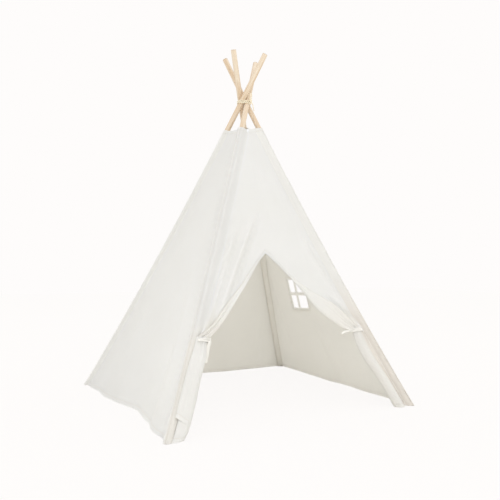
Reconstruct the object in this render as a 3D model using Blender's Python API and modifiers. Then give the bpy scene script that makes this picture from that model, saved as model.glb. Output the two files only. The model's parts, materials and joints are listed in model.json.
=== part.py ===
"""Kids play teepee: four bowed wooden poles lashed at the crown, a sewn canvas cover with pole
sleeves, a door whose two flaps are tied back, and a four-pane window.

Metres, +Z up. The origin is on the floor under the crown. The door faces -Y and the window +X.
"""

import bmesh
import bpy
import math
from mathutils import Matrix, Vector

# Stance of the frame
FOOT_SPACING = 1.10            # between neighbouring pole feet, centre line to centre line
CROSSING_HEIGHT = 1.3885       # where the straight chords of the poles would meet
POLE_BOW = 0.0204              # inward bow of a pole at its mid length, from the cover's tension

# Poles: three sections each, joined by two steel ferrules
POLE_LENGTH = 1.80
POLE_DIAMETER = 0.024
TIP_ROUNDING = 0.002
FERRULE_LENGTH = 0.10
FERRULE_WALL = 0.0008
SHOULDER_STEP = 0.0001         # length over which a section steps down to its spigot

# Canvas cover
CANVAS = 0.0012                # thickness of one ply
COVER_REACH = 1.412            # how far up the poles the cover goes, from the floor
WALL_SAG = 0.012               # inward sag of a wall at its middle
HEM_SAG_SHARE = 0.15           # how far up the sag's curve the hem lies
HEM_PULL = 0.030               # how far the left hem is drawn in where it lifts
HEM_LIFT = 0.022               # how high the left hem lifts there
HEM_PULL_POWER = 4             # how fast the pull fades up the wall
HEM_WAVE_SKEW = 1.45           # sets the lift's place, nearer the front pole
HEM_WAVE_POWER = 4             # how narrow the lift is

# Door, in the plane of the front: across (X) and up (Z)
DOOR_APEX_X = -0.024
DOOR_APEX_HEIGHT = 0.648
DOOR_TIE_HEIGHT = 0.318
LEFT_NECK_WIDTH = 0.046        # gathered cloth between the sleeve and the door's edge, at the tie
RIGHT_NECK_WIDTH = 0.058
DOOR_EDGE_SAG = 0.026          # how far the tied edge hangs below a straight line
DOOR_ROLL_RADIUS = 0.006       # the rolled edge of the cloth along the door

# Gathered flaps below the ties
LEFT_FLAP_WIDTH = 0.078        # at the floor, from the sleeve
RIGHT_FLAP_WIDTH = 0.098
FLAP_NECK_WIDTH = 0.034        # just below the tie
FLAP_TAPER_POWER = 0.8         # how soon a flap narrows towards the tie
PLEAT_DEPTH = 0.010
PLEAT_FADE_SHARE = 0.25        # share of the width, from the sleeve, over which pleats rise
FLAP_DROP = 0.012              # the flap's top lies this far below the tie's middle

# Ties
TIE_BAND = 0.016               # height of the tape
TIE_THICKNESS = 0.0012
TIE_STAND_OFF = 0.009          # from the middle of the gathered cloth
TIE_KNOT_RADIUS = 0.008
TIE_TAIL_LENGTH = 0.055
TIE_TAIL_WIDTH = 0.0035
TIE_TAIL_SIDE_SHARES = (-0.35, 0.30)   # how far the two tails swing aside as they fall
TIE_TAIL_FRONT_SHARE = 0.2

# Window in the right wall
WINDOW_WIDTH = 0.145
WINDOW_HEIGHT = 0.155          # up the slope of the wall
WINDOW_LEAN = 0.026            # how far its top lies towards the door from its bottom
WINDOW_CENTRE_Y = 0.076
WINDOW_CENTRE_HEIGHT = 0.449
WINDOW_BORDER = 0.015
MUNTIN_WIDTH = 0.017

# Lashing
ROPE_DIAMETER = 0.005
ROPE_PITCH = 0.0058            # from turn to turn
ROPE_TOP_DROP = 0.002          # the top turn's middle lies this far below the crossing of the poles
ROPE_CLEARANCE = 0.0005
ROPE_TURNS = 3
ROPE_KNOT_DEG = 292.0          # where on the crown the ends come out
ROPE_TAIL_OUT = 0.010
ROPE_UPPER_TAIL = 0.030
ROPE_LOWER_TAIL = 0.045

# Folding: each leg turns in about the middle of the lashing
FOLD_DEG = 25.0

# Fits and construction
GAP = 0.0003                   # between pieces that touch
WELD = 0.00001
OVERRUN = 0.02                 # how far cutters run past what they cut

POLE_SPANS = 10
TUBE_SIDES = 12
WALL_COLUMNS = 12
FLAP_COLUMNS = 18
FLAP_PLEATS = 3
EDGE_POINTS = 9
LOOP_POINTS = 24
TIE_TURNS = 6
KNOT_SEGMENTS = 10
KNOT_RINGS = 6
WINDOW_CELLS = 8
SMOOTH_DEG = 35.0
ROPE_SMOOTH_DEG = 60.0

COLLECTION = "kids_teepee"
LEG_AZIMUTHS = {"front_left": 225.0, "front_right": 315.0, "back_right": 45.0, "back_left": 135.0}

# Derived sizes of the frame
POLE_RADIUS = POLE_DIAMETER / 2
FOOT_RADIUS = FOOT_SPACING / math.sqrt(2)
LEAN = math.atan2(FOOT_RADIUS, CROSSING_HEIGHT)
FACET_SHARE = math.cos(math.pi / TUBE_SIDES)
BORE_RADIUS = POLE_RADIUS + GAP / FACET_SHARE
SLEEVE_RADIUS = BORE_RADIUS + CANVAS / FACET_SHARE
# Each pole passes beside the crown's axis, so that neighbours touch where they cross.
CROSSING_OFFSET = (POLE_DIAMETER + GAP) * math.sqrt(1 + math.cos(LEAN) ** 2) / (2 * math.cos(LEAN))
# The square end of a leaning pole stands on the closed end of its sleeve.
POLE_START = (POLE_RADIUS * math.sin(LEAN) + CANVAS + GAP) / math.cos(LEAN)
POLE_END = POLE_START + POLE_LENGTH


def reset_scene():
    for obj in list(bpy.data.objects):
        bpy.data.objects.remove(obj, do_unlink=True)


def collection(name):
    group = bpy.data.collections.get(name)
    if group is None:
        group = bpy.data.collections.new(name)
        bpy.context.scene.collection.children.link(group)
    return group


def add_object(name, data, group=COLLECTION):
    obj = bpy.data.objects.new(name, data)
    collection(group).objects.link(obj)
    return obj


def material(name, colour, roughness, metallic=0.0):
    mat = bpy.data.materials.get(name)
    if mat is None:
        mat = bpy.data.materials.new(name)
        mat.use_nodes = True
        shader = mat.node_tree.nodes["Principled BSDF"]
        shader.inputs["Base Color"].default_value = (*colour, 1.0)
        shader.inputs["Roughness"].default_value = roughness
        shader.inputs["Metallic"].default_value = metallic
        mat.diffuse_color = (*colour, 1.0)
    return mat


def canvas():
    return material("natural_canvas", (0.80, 0.78, 0.71), 0.9)


def pine():
    return material("pine", (0.72, 0.52, 0.31), 0.55)


def steel():
    return material("zinc_steel", (0.62, 0.62, 0.60), 0.35, 1.0)


def cotton():
    return material("cotton_cord", (0.76, 0.71, 0.60), 0.9)


def baked(obj):
    """The object's evaluated shape as a welded mesh. The object itself is removed."""
    graph = bpy.context.evaluated_depsgraph_get()
    mesh = bpy.data.meshes.new_from_object(obj.evaluated_get(graph))
    mesh.transform(obj.matrix_world)
    bpy.data.objects.remove(obj, do_unlink=True)
    edit = bmesh.new()
    edit.from_mesh(mesh)
    bmesh.ops.remove_doubles(edit, verts=edit.verts, dist=WELD)
    edit.to_mesh(mesh)
    edit.free()
    return mesh


def tube(name, points, radius, shares=None, resolution=2):
    """A capped round tube along the points. shares are its radius at each point, as shares."""
    curve = bpy.data.curves.new(name, "CURVE")
    curve.dimensions = "3D"
    curve.twist_mode = "Z_UP"
    curve.bevel_depth = radius
    curve.bevel_resolution = resolution
    curve.use_fill_caps = True
    spline = curve.splines.new("POLY")
    spline.points.add(len(points) - 1)
    for i, (knot, point) in enumerate(zip(spline.points, points)):
        knot.co = (*point, 1.0)
        knot.radius = shares[i] if shares else 1.0
    obj = add_object(name, curve)
    bpy.context.view_layer.update()
    return baked(obj)


def cutter(name, mesh):
    obj = add_object(name, mesh, "cutters")
    obj.hide_render = True
    obj.display_type = "WIRE"
    return obj


def boolean(obj, tool, operation="DIFFERENCE"):
    mod = obj.modifiers.new(tool.name, "BOOLEAN")
    mod.operation = operation
    mod.solver = "EXACT"
    mod.object = tool
    return mod


def solidify(obj, thickness):
    mod = obj.modifiers.new("thickness", "SOLIDIFY")
    mod.thickness = thickness
    mod.offset = 0.0
    mod.use_even_offset = True
    return mod


def box_mesh(name, size, matrix):
    edit = bmesh.new()
    bmesh.ops.create_cube(edit, size=1.0)
    bmesh.ops.scale(edit, vec=size, verts=edit.verts)
    bmesh.ops.transform(edit, matrix=matrix, verts=edit.verts)
    mesh = bpy.data.meshes.new(name)
    edit.to_mesh(mesh)
    edit.free()
    return mesh


def sheet_mesh(name, rows):
    """An open surface through rows of points of equal count."""
    columns = len(rows[0])
    faces = []
    for r in range(len(rows) - 1):
        for c in range(columns - 1):
            low = r * columns + c
            faces.append((low, low + 1, low + columns + 1, low + columns))
    mesh = bpy.data.meshes.new(name)
    mesh.from_pydata([tuple(p) for row in rows for p in row], [], faces)
    return mesh


def smooth(mesh, angle_deg=SMOOTH_DEG):
    mesh.shade_smooth()
    mesh.set_sharp_from_angle(angle=math.radians(angle_deg))


def floor_cutter():
    """A block under the floor, which cuts every hem and foot flat."""
    tool = bpy.data.objects.get("floor_block")
    if tool is None:
        reach = 2 * FOOT_SPACING
        place = Matrix.Translation((0.0, 0.0, -reach / 2))
        tool = cutter("floor_block", box_mesh("floor_block", (reach, reach, reach), place))
    return tool


# The line of a pole, in its own leg's frame: X away from the crown's axis, Y beside it, Z up

def bowed_point(along):
    """A point of the pole's centre line, at a distance from the floor along its chord."""
    share = along / POLE_END
    bow = 4 * POLE_BOW * share * (1 - share)
    radial = FOOT_RADIUS - along * math.sin(LEAN) - bow * math.cos(LEAN)
    height = along * math.cos(LEAN) - bow * math.sin(LEAN)
    return Vector((radial, CROSSING_OFFSET, height))


def pole_knots():
    return [POLE_END * i / POLE_SPANS for i in range(POLE_SPANS + 1)]


def line_point(along):
    """A point of the faceted line that every piece on a pole shares."""
    span = POLE_END / POLE_SPANS
    i = min(max(int(along // span), 0), POLE_SPANS - 1)
    low = bowed_point(i * span)
    high = bowed_point((i + 1) * span)
    return low.lerp(high, along / span - i)


def line_direction(along):
    span = POLE_END / POLE_SPANS
    i = min(max(int(along // span), 0), POLE_SPANS - 1)
    return (bowed_point((i + 1) * span) - bowed_point(i * span)).normalized()


def stretch(start, end):
    """Distances along the pole from start to end, with the inner knots between them."""
    inner = [k for k in pole_knots()[1:-1] if start + WELD < k < end - WELD]
    return [start, *inner, end]


def along_at_height(height):
    """The distance along the pole at which its line reaches a height."""
    for low, high in zip(pole_knots(), pole_knots()[1:]):
        a = line_point(low).z
        b = line_point(high).z
        if height <= b:
            break
    return low + (high - low) * (height - a) / (b - a)


def crossing_along():
    """The distance along the pole at which its line passes beside the crown's axis."""
    for low, high in zip(pole_knots(), pole_knots()[1:]):
        a = line_point(low).x
        b = line_point(high).x
        if b <= 0:
            break
    return low + (high - low) * a / (a - b)


def lashing_top():
    """The height of the middle of the lashing's top turn."""
    return line_point(crossing_along()).z - ROPE_TOP_DROP


def hinge_point():
    """The point on a leg's fold axis, in the leg's frame: at the middle of the lashing's turns.
    The axis runs along the frame's Y."""
    return line_point(along_at_height(lashing_top() - ROPE_PITCH * ROPE_TURNS / 2))


def leg_tube(name, stations, radius, shares=None):
    return tube(name, [line_point(s) for s in stations], radius, shares)


def bored(name, outer, bore, cut_floor=False):
    """The outer shape less the bore, as a mesh."""
    obj = add_object(name, outer)
    boolean(obj, cutter(name + "_bore", bore))
    if cut_floor:
        boolean(obj, floor_cutter())
    bpy.context.view_layer.update()
    return baked(obj)


# Pieces of one leg

def section_mesh(name, start, end, spigot_below, spigot_above):
    """A pole section. Where it meets a neighbour it is turned down to fit the ferrule."""
    spigot_share = (POLE_RADIUS - FERRULE_WALL - GAP) / POLE_RADIUS
    tip_share = (POLE_RADIUS - TIP_ROUNDING) / POLE_RADIUS
    half = FERRULE_LENGTH / 2
    body_start = start + half if spigot_below else start + TIP_ROUNDING
    body_end = end - half if spigot_above else end - TIP_ROUNDING
    marks = []
    if spigot_below:
        marks += [(start + GAP / 2, spigot_share), (body_start - SHOULDER_STEP, spigot_share)]
    else:
        marks += [(start, tip_share)]
    marks += [(s, 1.0) for s in stretch(body_start, body_end)]
    if spigot_above:
        marks += [(body_end + SHOULDER_STEP, spigot_share), (end - GAP / 2, spigot_share)]
    else:
        marks += [(end, tip_share)]
    knots = [k for k in pole_knots() if start + GAP < k < end - GAP]
    for knot in knots:
        if all(abs(knot - s) > WELD for s, _ in marks):
            marks.append((knot, spigot_share))
    marks.sort()
    mesh = leg_tube(name, [s for s, _ in marks], POLE_RADIUS, [r for _, r in marks])
    smooth(mesh)
    mesh.materials.append(pine())
    return mesh


def ferrule_mesh(name, middle):
    half = FERRULE_LENGTH / 2 - GAP
    outer = leg_tube(name + "_outer", stretch(middle - half, middle + half), POLE_RADIUS)
    inner_reach = half + OVERRUN
    bore_stations = stretch(middle - inner_reach, middle + inner_reach)
    bore = leg_tube(name + "_inner", bore_stations, POLE_RADIUS - FERRULE_WALL)
    mesh = bored(name, outer, bore)
    smooth(mesh)
    mesh.materials.append(steel())
    return mesh


def sleeve_mesh(name):
    """The canvas pocket round a pole, closed and flat on the floor."""
    outer = leg_tube(name + "_outer", stretch(-OVERRUN, COVER_REACH), SLEEVE_RADIUS)
    bore = leg_tube(name + "_inner", stretch(POLE_START - GAP, COVER_REACH + OVERRUN), BORE_RADIUS)
    mesh = bored(name, outer, bore, cut_floor=True)
    smooth(mesh)
    mesh.materials.append(canvas())
    return mesh


def build_legs():
    third = POLE_LENGTH / 3
    lower_joint = POLE_START + third
    upper_joint = POLE_START + 2 * third
    pieces = {
        "pole_lower": section_mesh("pole_lower", POLE_START, lower_joint, False, True),
        "pole_middle": section_mesh("pole_middle", lower_joint, upper_joint, True, True),
        "pole_upper": section_mesh("pole_upper", upper_joint, POLE_END, True, False),
        "ferrule_lower": ferrule_mesh("ferrule_lower", lower_joint),
        "ferrule_upper": ferrule_mesh("ferrule_upper", upper_joint),
        "sleeve": sleeve_mesh("sleeve"),
    }
    hinge = hinge_point()
    for mesh in pieces.values():
        mesh.transform(Matrix.Translation(-hinge))
    for leg, azimuth in LEG_AZIMUTHS.items():
        turn = Matrix.Rotation(math.radians(azimuth), 4, "Z")
        pivot = add_object(leg + "_leg_pivot", None)
        pivot.matrix_world = turn @ Matrix.Translation(hinge)
        for piece, mesh in pieces.items():
            obj = add_object(leg + "_" + piece, mesh)
            obj.parent = pivot


# Walls: each is built facing -Y between the front poles, then turned to its side

def leg_frame(azimuth_deg):
    return Matrix.Rotation(math.radians(azimuth_deg), 4, "Z")


def side_reach(direction, across, aside):
    """How far across from a pole's line a point lies that is clear of its sleeve."""
    p = across - direction * across.dot(direction)
    q = aside - direction * aside.dot(direction)
    dot = p.dot(q)
    room = (SLEEVE_RADIUS + GAP) ** 2 - q.length_squared
    return (math.sqrt(dot ** 2 + p.length_squared * room) - dot) / p.length_squared


def seam_edges(along, forward=0.0):
    """The wall's two edges at a distance along the poles, or points that far before them."""
    left_turn = leg_frame(LEG_AZIMUTHS["front_left"])
    right_turn = leg_frame(LEG_AZIMUTHS["front_right"])
    left = left_turn @ line_point(along)
    right = right_turn @ line_point(along)
    across = (right - left).normalized()
    aside = Vector((across.y, -across.x, 0.0)) * forward
    left_reach = side_reach(left_turn.to_3x3() @ line_direction(along), across, aside)
    right_reach = side_reach(right_turn.to_3x3() @ line_direction(along), -across, aside)
    return left + across * left_reach + aside, right - across * right_reach + aside


def wall_point(u_share, along, sag=WALL_SAG, pull=0.0):
    """A point of a wall: u_share runs from its left seam to its right one."""
    left, right = seam_edges(along)
    across = (right - left).normalized()
    inward = Vector((-across.y, across.x, 0.0))
    height_share = min(max(along / COVER_REACH, 0.0), 1.0)
    rise_share = HEM_SAG_SHARE + (1 - HEM_SAG_SHARE) * height_share
    belly_share = 4 * u_share * (1 - u_share) * math.sin(math.pi * rise_share)
    hem_share = (1 - height_share) ** HEM_PULL_POWER
    return left.lerp(right, u_share) + inward * (sag * belly_share + pull * hem_share)


def hem_wave(u_share):
    """How much of the left hem's lift shows at a place: one hump, nearer the front pole."""
    return math.sin(math.pi * u_share ** HEM_WAVE_SKEW) ** HEM_WAVE_POWER


def wall_rows(pull=0.0, lift=0.0):
    """Rows of wall points from below the floor, or from a lifted hem, to the cover's top."""
    start = -OVERRUN / 2
    marks = stretch(start, COVER_REACH)
    rows = []
    for i, mark in enumerate(marks):
        row = []
        for c in range(WALL_COLUMNS + 1):
            u_share = c / WALL_COLUMNS
            wave = hem_wave(u_share)
            raise_by = (lift - start) * wave if lift and i == 0 else 0.0
            row.append(wall_point(u_share, mark + raise_by, pull=pull * wave))
        rows.append(row)
    return rows


def facet_point(rows, u_share, along):
    """A point of the faceted wall, between the nodes of its grid."""
    marks = stretch(-OVERRUN / 2, COVER_REACH)
    r = max(i for i, mark in enumerate(marks[:-1]) if mark <= along or i == 0)
    v_share = (along - marks[r]) / (marks[r + 1] - marks[r])
    c = min(int(u_share * WALL_COLUMNS), WALL_COLUMNS - 1)
    w_share = u_share * WALL_COLUMNS - c
    low = rows[r][c].lerp(rows[r][c + 1], w_share)
    high = rows[r + 1][c].lerp(rows[r + 1][c + 1], w_share)
    return low.lerp(high, v_share)


def share_at_x(rows, x, along):
    """The share across the wall at which it has a place X."""
    low = facet_point(rows, 0.0, along)
    high = facet_point(rows, 1.0, along)
    return (x - low.x) / (high.x - low.x)


def canvas_sheet(name, rows, turn_deg=0.0):
    obj = add_object(name, sheet_mesh(name, rows))
    obj.data.transform(leg_frame(turn_deg))
    obj.data.materials.append(canvas())
    solidify(obj, CANVAS)
    return obj


def finish_sheet(obj):
    """The sheet with its thickness and cuts, as a smooth mesh."""
    bpy.context.view_layer.update()
    name = obj.name
    mesh = baked(obj)
    smooth(mesh)
    return add_object(name, mesh)


def build_plain_walls():
    back = canvas_sheet("back_wall", wall_rows(), 180.0)
    boolean(back, floor_cutter())
    finish_sheet(back)
    left = canvas_sheet("left_wall", wall_rows(HEM_PULL, HEM_LIFT), 270.0)
    boolean(left, floor_cutter())
    finish_sheet(left)


# Front panel and its door

def neck_edge(side, width):
    """The door edge's place at the tie, across and up, beside the sleeve."""
    along = along_at_height(DOOR_TIE_HEIGHT)
    left, right = seam_edges(along)
    return left.x + width if side < 0 else right.x - width


def door_edge(side, width):
    """Points (across, up) of one tied door edge, from the apex to the tie."""
    neck_x = neck_edge(side, width)
    points = []
    for i in range(EDGE_POINTS):
        share = i / (EDGE_POINTS - 1)
        x = DOOR_APEX_X + (neck_x - DOOR_APEX_X) * share
        z = DOOR_APEX_HEIGHT + (DOOR_TIE_HEIGHT - DOOR_APEX_HEIGHT) * share
        points.append((x, z - DOOR_EDGE_SAG * math.sin(math.pi * share)))
    return points


def outline_prism(name, outline, low, high):
    """A prism along Y of an outline given across and up."""
    edit = bmesh.new()
    ring = [edit.verts.new((x, low, z)) for x, z in outline]
    face = edit.faces.new(ring)
    grown = bmesh.ops.extrude_face_region(edit, geom=[face])
    moved = [g for g in grown["geom"] if isinstance(g, bmesh.types.BMVert)]
    bmesh.ops.translate(edit, vec=(0.0, high - low, 0.0), verts=moved)
    bmesh.ops.recalc_face_normals(edit, faces=edit.faces)
    mesh = bpy.data.meshes.new(name)
    edit.to_mesh(mesh)
    edit.free()
    return mesh


def build_front_panel():
    rows = wall_rows()
    panel = canvas_sheet("front_panel", rows)
    left = door_edge(-1, LEFT_NECK_WIDTH)
    right = door_edge(1, RIGHT_NECK_WIDTH)
    far = FOOT_SPACING
    outline = left + [(-far, DOOR_TIE_HEIGHT), (-far, -far), (far, -far), (far, DOOR_TIE_HEIGHT)]
    outline += list(reversed(right[1:]))
    door = outline_prism("door_outline", outline, -FOOT_SPACING, 0.0)
    boolean(panel, cutter("door_cutter", door))
    for side_name, edge in (("left", left), ("right", right)):
        path = []
        for x, z in edge:
            along = along_at_height(z)
            path.append(facet_point(rows, share_at_x(rows, x, along), along))
        end = path[-1] + Vector((0.0, 0.0, DOOR_ROLL_RADIUS))
        path[-1] = end
        roll = tube(side_name + "_door_roll", path, DOOR_ROLL_RADIUS, resolution=1)
        boolean(panel, cutter(side_name + "_door_roll", roll), "UNION")
    finish_sheet(panel)


# Gathered flaps below the ties, and the ties

def flap_rows(side, floor_width):
    """Rows of a pleated flap, from below the floor to just under the tie."""
    top = along_at_height(DOOR_TIE_HEIGHT - FLAP_DROP)
    marks = stretch(-OVERRUN / 2, top)
    rows = []
    for mark in marks:
        left, right = seam_edges(mark)
        across = (right - left).normalized() * (1 if side < 0 else -1)
        start = left if side < 0 else right
        inward = Vector((-across.y, across.x, 0.0)) * (1 if side < 0 else -1)
        height_share = min(max(mark / top, 0.0), 1.0)
        taper_share = height_share ** FLAP_TAPER_POWER
        width = floor_width + (FLAP_NECK_WIDTH - floor_width) * taper_share
        row = []
        for c in range(FLAP_COLUMNS + 1):
            u_share = c / FLAP_COLUMNS
            depth = PLEAT_DEPTH * math.sin(2 * math.pi * FLAP_PLEATS * u_share)
            fade_share = min(1.0, u_share / PLEAT_FADE_SHARE) ** 2
            row.append(start + across * width * u_share + inward * depth * fade_share)
        rows.append(row if side < 0 else list(reversed(row)))
    return rows


def build_flap(name, side, floor_width):
    rows = flap_rows(side, floor_width)
    flap = canvas_sheet(name, rows)
    boolean(flap, floor_cutter())
    finish_sheet(flap)


def tie_path(side, neck_width, height):
    """The tape's path round the gathered cloth: out along the front, back along the inside."""
    (x_before, z_before), (x_last, z_last) = door_edge(side, neck_width)[-2:]
    flare_share = abs((x_before - x_last) / (z_before - z_last))
    neck_width += max(0.0, height - DOOR_TIE_HEIGHT) * flare_share
    along = along_at_height(height)
    left, right = seam_edges(along)
    across = (right - left).normalized() * (1 if side < 0 else -1)
    forward = Vector((across.y, -across.x, 0.0)) * (1 if side < 0 else -1)
    turn = (left if side < 0 else right) + across * (neck_width + DOOR_ROLL_RADIUS + GAP)
    # The tape is sewn to the sleeve at both ends.
    shell = TIE_STAND_OFF - TIE_THICKNESS / 2
    front, back = (seam_edges(along, reach)[0 if side < 0 else 1] for reach in (shell, -shell))
    points = [front + forward * TIE_THICKNESS / 2]
    for i in range(TIE_TURNS + 1):
        angle = math.pi / 2 - math.pi * i / TIE_TURNS
        points.append(turn + (across * math.cos(angle) + forward * math.sin(angle)) * TIE_STAND_OFF)
    points.append(back - forward * TIE_THICKNESS / 2)
    return points, across


def build_tie(name, side, neck_width):
    half = TIE_BAND / 2
    path, across = tie_path(side, neck_width, DOOR_TIE_HEIGHT)
    edges = [tie_path(side, neck_width, DOOR_TIE_HEIGHT + h)[0] for h in (-half, half)]
    band = add_object(name, sheet_mesh(name, edges))
    band.data.materials.append(cotton())
    solidify(band, TIE_THICKNESS)
    tip = path[len(path) // 2] + across * TIE_KNOT_RADIUS / 2
    edit = bmesh.new()
    place = Matrix.Translation(tip)
    bmesh.ops.create_uvsphere(
        edit, u_segments=KNOT_SEGMENTS, v_segments=KNOT_RINGS, radius=TIE_KNOT_RADIUS, matrix=place
    )
    ball = bpy.data.meshes.new(name + "_knot")
    edit.to_mesh(ball)
    edit.free()
    boolean(band, cutter(name + "_knot", ball), "UNION")
    for i, side_share in enumerate(TIE_TAIL_SIDE_SHARES):
        hang = across * side_share + Vector((0.0, -TIE_TAIL_FRONT_SHARE, -1.0))
        foot = tip + hang.normalized() * TIE_TAIL_LENGTH
        tail = tube(name + "_tail_" + str(i), [tip, foot], TIE_TAIL_WIDTH, resolution=1)
        boolean(band, cutter(name + "_tail_" + str(i), tail), "UNION")
    finish_sheet(band)


# Window

def window_place(rows):
    """The window's place, before the turn: X across, Y inward, Z up the slope and leaning."""
    along = along_at_height(WINDOW_CENTRE_HEIGHT)
    # The right wall is the front one turned by a quarter, so its Y is this X.
    share = share_at_x(rows, WINDOW_CENTRE_Y, along)
    centre = facet_point(rows, share, along)
    span = POLE_END / POLE_SPANS / 2
    up = facet_point(rows, share, along + span) - facet_point(rows, share, along - span)
    side = facet_point(rows, share + 1 / WALL_COLUMNS, along) - centre
    inward = up.cross(side).normalized()
    up.normalize()
    side = inward.cross(up)
    upright = up * WINDOW_HEIGHT - side * WINDOW_LEAN
    axes = Matrix((side, inward, upright / WINDOW_HEIGHT)).transposed().to_4x4()
    return Matrix.Translation(centre) @ axes, share, along


def build_right_wall():
    rows = wall_rows()
    wall = canvas_sheet("right_wall", rows, 90.0)
    boolean(wall, floor_cutter())
    place, share, along = window_place(rows)
    turn = leg_frame(90.0)
    hole = (WINDOW_WIDTH, 2 * OVERRUN, WINDOW_HEIGHT)
    boolean(wall, cutter("window_cutter", box_mesh("window_cutter", hole, turn @ place)))
    finish_sheet(wall)
    build_window_trim(rows, place, share, along)


def build_window_trim(rows, place, share, along):
    """Tape sewn round the window and crossing it, on the inner face of the wall."""
    left, right = seam_edges(along)
    half_share = (WINDOW_WIDTH / 2 + WINDOW_BORDER) / (right - left).length
    half_height = WINDOW_HEIGHT / 2 + WINDOW_BORDER
    lean_share = WINDOW_LEAN / WINDOW_HEIGHT * half_height / (right - left).length
    inward = place.to_3x3() @ Vector((0.0, 1.0, 0.0))
    grid = []
    for r in range(WINDOW_CELLS + 1):
        row = []
        for c in range(WINDOW_CELLS + 1):
            a = 2 * c / WINDOW_CELLS - 1
            b = 2 * r / WINDOW_CELLS - 1
            u_share = share + a * half_share - b * lean_share
            point = facet_point(rows, u_share, along + b * half_height)
            row.append(point + inward * (CANVAS + 2 * GAP))
        grid.append(row)
    trim = canvas_sheet("window_trim", grid, 90.0)
    pane_width = (WINDOW_WIDTH - MUNTIN_WIDTH) / 2
    pane_height = (WINDOW_HEIGHT - MUNTIN_WIDTH) / 2
    turn = leg_frame(90.0)
    for i, (across, up) in enumerate(((-1, -1), (1, -1), (-1, 1), (1, 1))):
        step = ((pane_width + MUNTIN_WIDTH) / 2 * across, 0.0, (pane_height + MUNTIN_WIDTH) / 2 * up)
        spot = turn @ place @ Matrix.Translation(step)
        tool = box_mesh("pane_cutter", (pane_width, 2 * OVERRUN, pane_height), spot)
        boolean(trim, cutter("pane_cutter_" + str(i), tool))
    finish_sheet(trim)


# Lashing

def crown_hull_point(angle, height, clearance):
    """The rope's centre where it bears on the poles, looking out at an angle, at a height.
    It is clear of them both open and folded."""
    out = Vector((math.cos(angle), math.sin(angle), 0.0))
    hinge = hinge_point()
    direction = line_direction(along_at_height(height))
    open_lean = math.atan2(-direction.x, direction.z)
    best = None
    for azimuth in LEG_AZIMUTHS.values():
        turn = leg_frame(azimuth)
        radial = turn @ Vector((1.0, 0.0, 0.0))
        beside = turn @ Vector((0.0, 1.0, 0.0))
        for lean in (open_lean, open_lean - math.radians(FOLD_DEG)):
            centre = radial * (hinge.x + (hinge.z - height) * math.tan(lean)) + beside * hinge.y
            stretch_radius = POLE_RADIUS / math.cos(lean)
            a = stretch_radius * out.dot(radial)
            b = POLE_RADIUS * out.dot(beside)
            size = math.hypot(a, b)
            reach = centre.dot(out) + size
            if best is None or reach > best[0]:
                touch = centre + (radial * stretch_radius * a + beside * POLE_RADIUS * b) / size
                best = (reach, touch)
    point = best[1] + out * clearance
    point.z = height
    return point


def rope_path():
    clearance = ROPE_DIAMETER / 2 + ROPE_CLEARANCE
    top = lashing_top()
    start = math.radians(ROPE_KNOT_DEG)
    points = []
    for i in range(ROPE_TURNS * LOOP_POINTS + 1):
        turns = i / LOOP_POINTS
        height = top - ROPE_PITCH * turns
        points.append(crown_hull_point(start + 2 * math.pi * turns, height, clearance))
    out = Vector((math.cos(start), math.sin(start), 0.0))
    beside = Vector((-out.y, out.x, 0.0))
    first = points[0] + out * ROPE_TAIL_OUT - beside * ROPE_TAIL_OUT
    last = points[-1] + out * ROPE_TAIL_OUT + beside * ROPE_TAIL_OUT
    upper = first + Vector((0.0, 0.0, ROPE_UPPER_TAIL))
    lower = last - Vector((0.0, 0.0, ROPE_LOWER_TAIL))
    return [upper, first, *points, last, lower]


def least_turn_gap(points):
    """The least gap between turns of the rope that are at least half a turn apart."""
    least = None
    for i, a in enumerate(points):
        for b in points[i + LOOP_POINTS // 2:]:
            gap = (a - b).length - ROPE_DIAMETER
            if least is None or gap < least:
                least = gap
    return least


def build_lashing():
    points = rope_path()
    print("least gap between turns of the lashing, mm:", round(least_turn_gap(points) * 1000, 2))
    mesh = tube("lashing_rope", points, ROPE_DIAMETER / 2, resolution=1)
    smooth(mesh, ROPE_SMOOTH_DEG)
    mesh.materials.append(cotton())
    add_object("lashing_rope", mesh)


def main():
    reset_scene()
    build_legs()
    build_plain_walls()
    build_front_panel()
    build_right_wall()
    build_flap("left_door_flap", -1, LEFT_FLAP_WIDTH)
    build_flap("right_door_flap", 1, RIGHT_FLAP_WIDTH)
    build_tie("left_door_tie", -1, LEFT_NECK_WIDTH)
    build_tie("right_door_tie", 1, RIGHT_NECK_WIDTH)
    build_lashing()


main()
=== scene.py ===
import bmesh
import bpy
import json
import math
from mathutils import Matrix, Vector, noise

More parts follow.
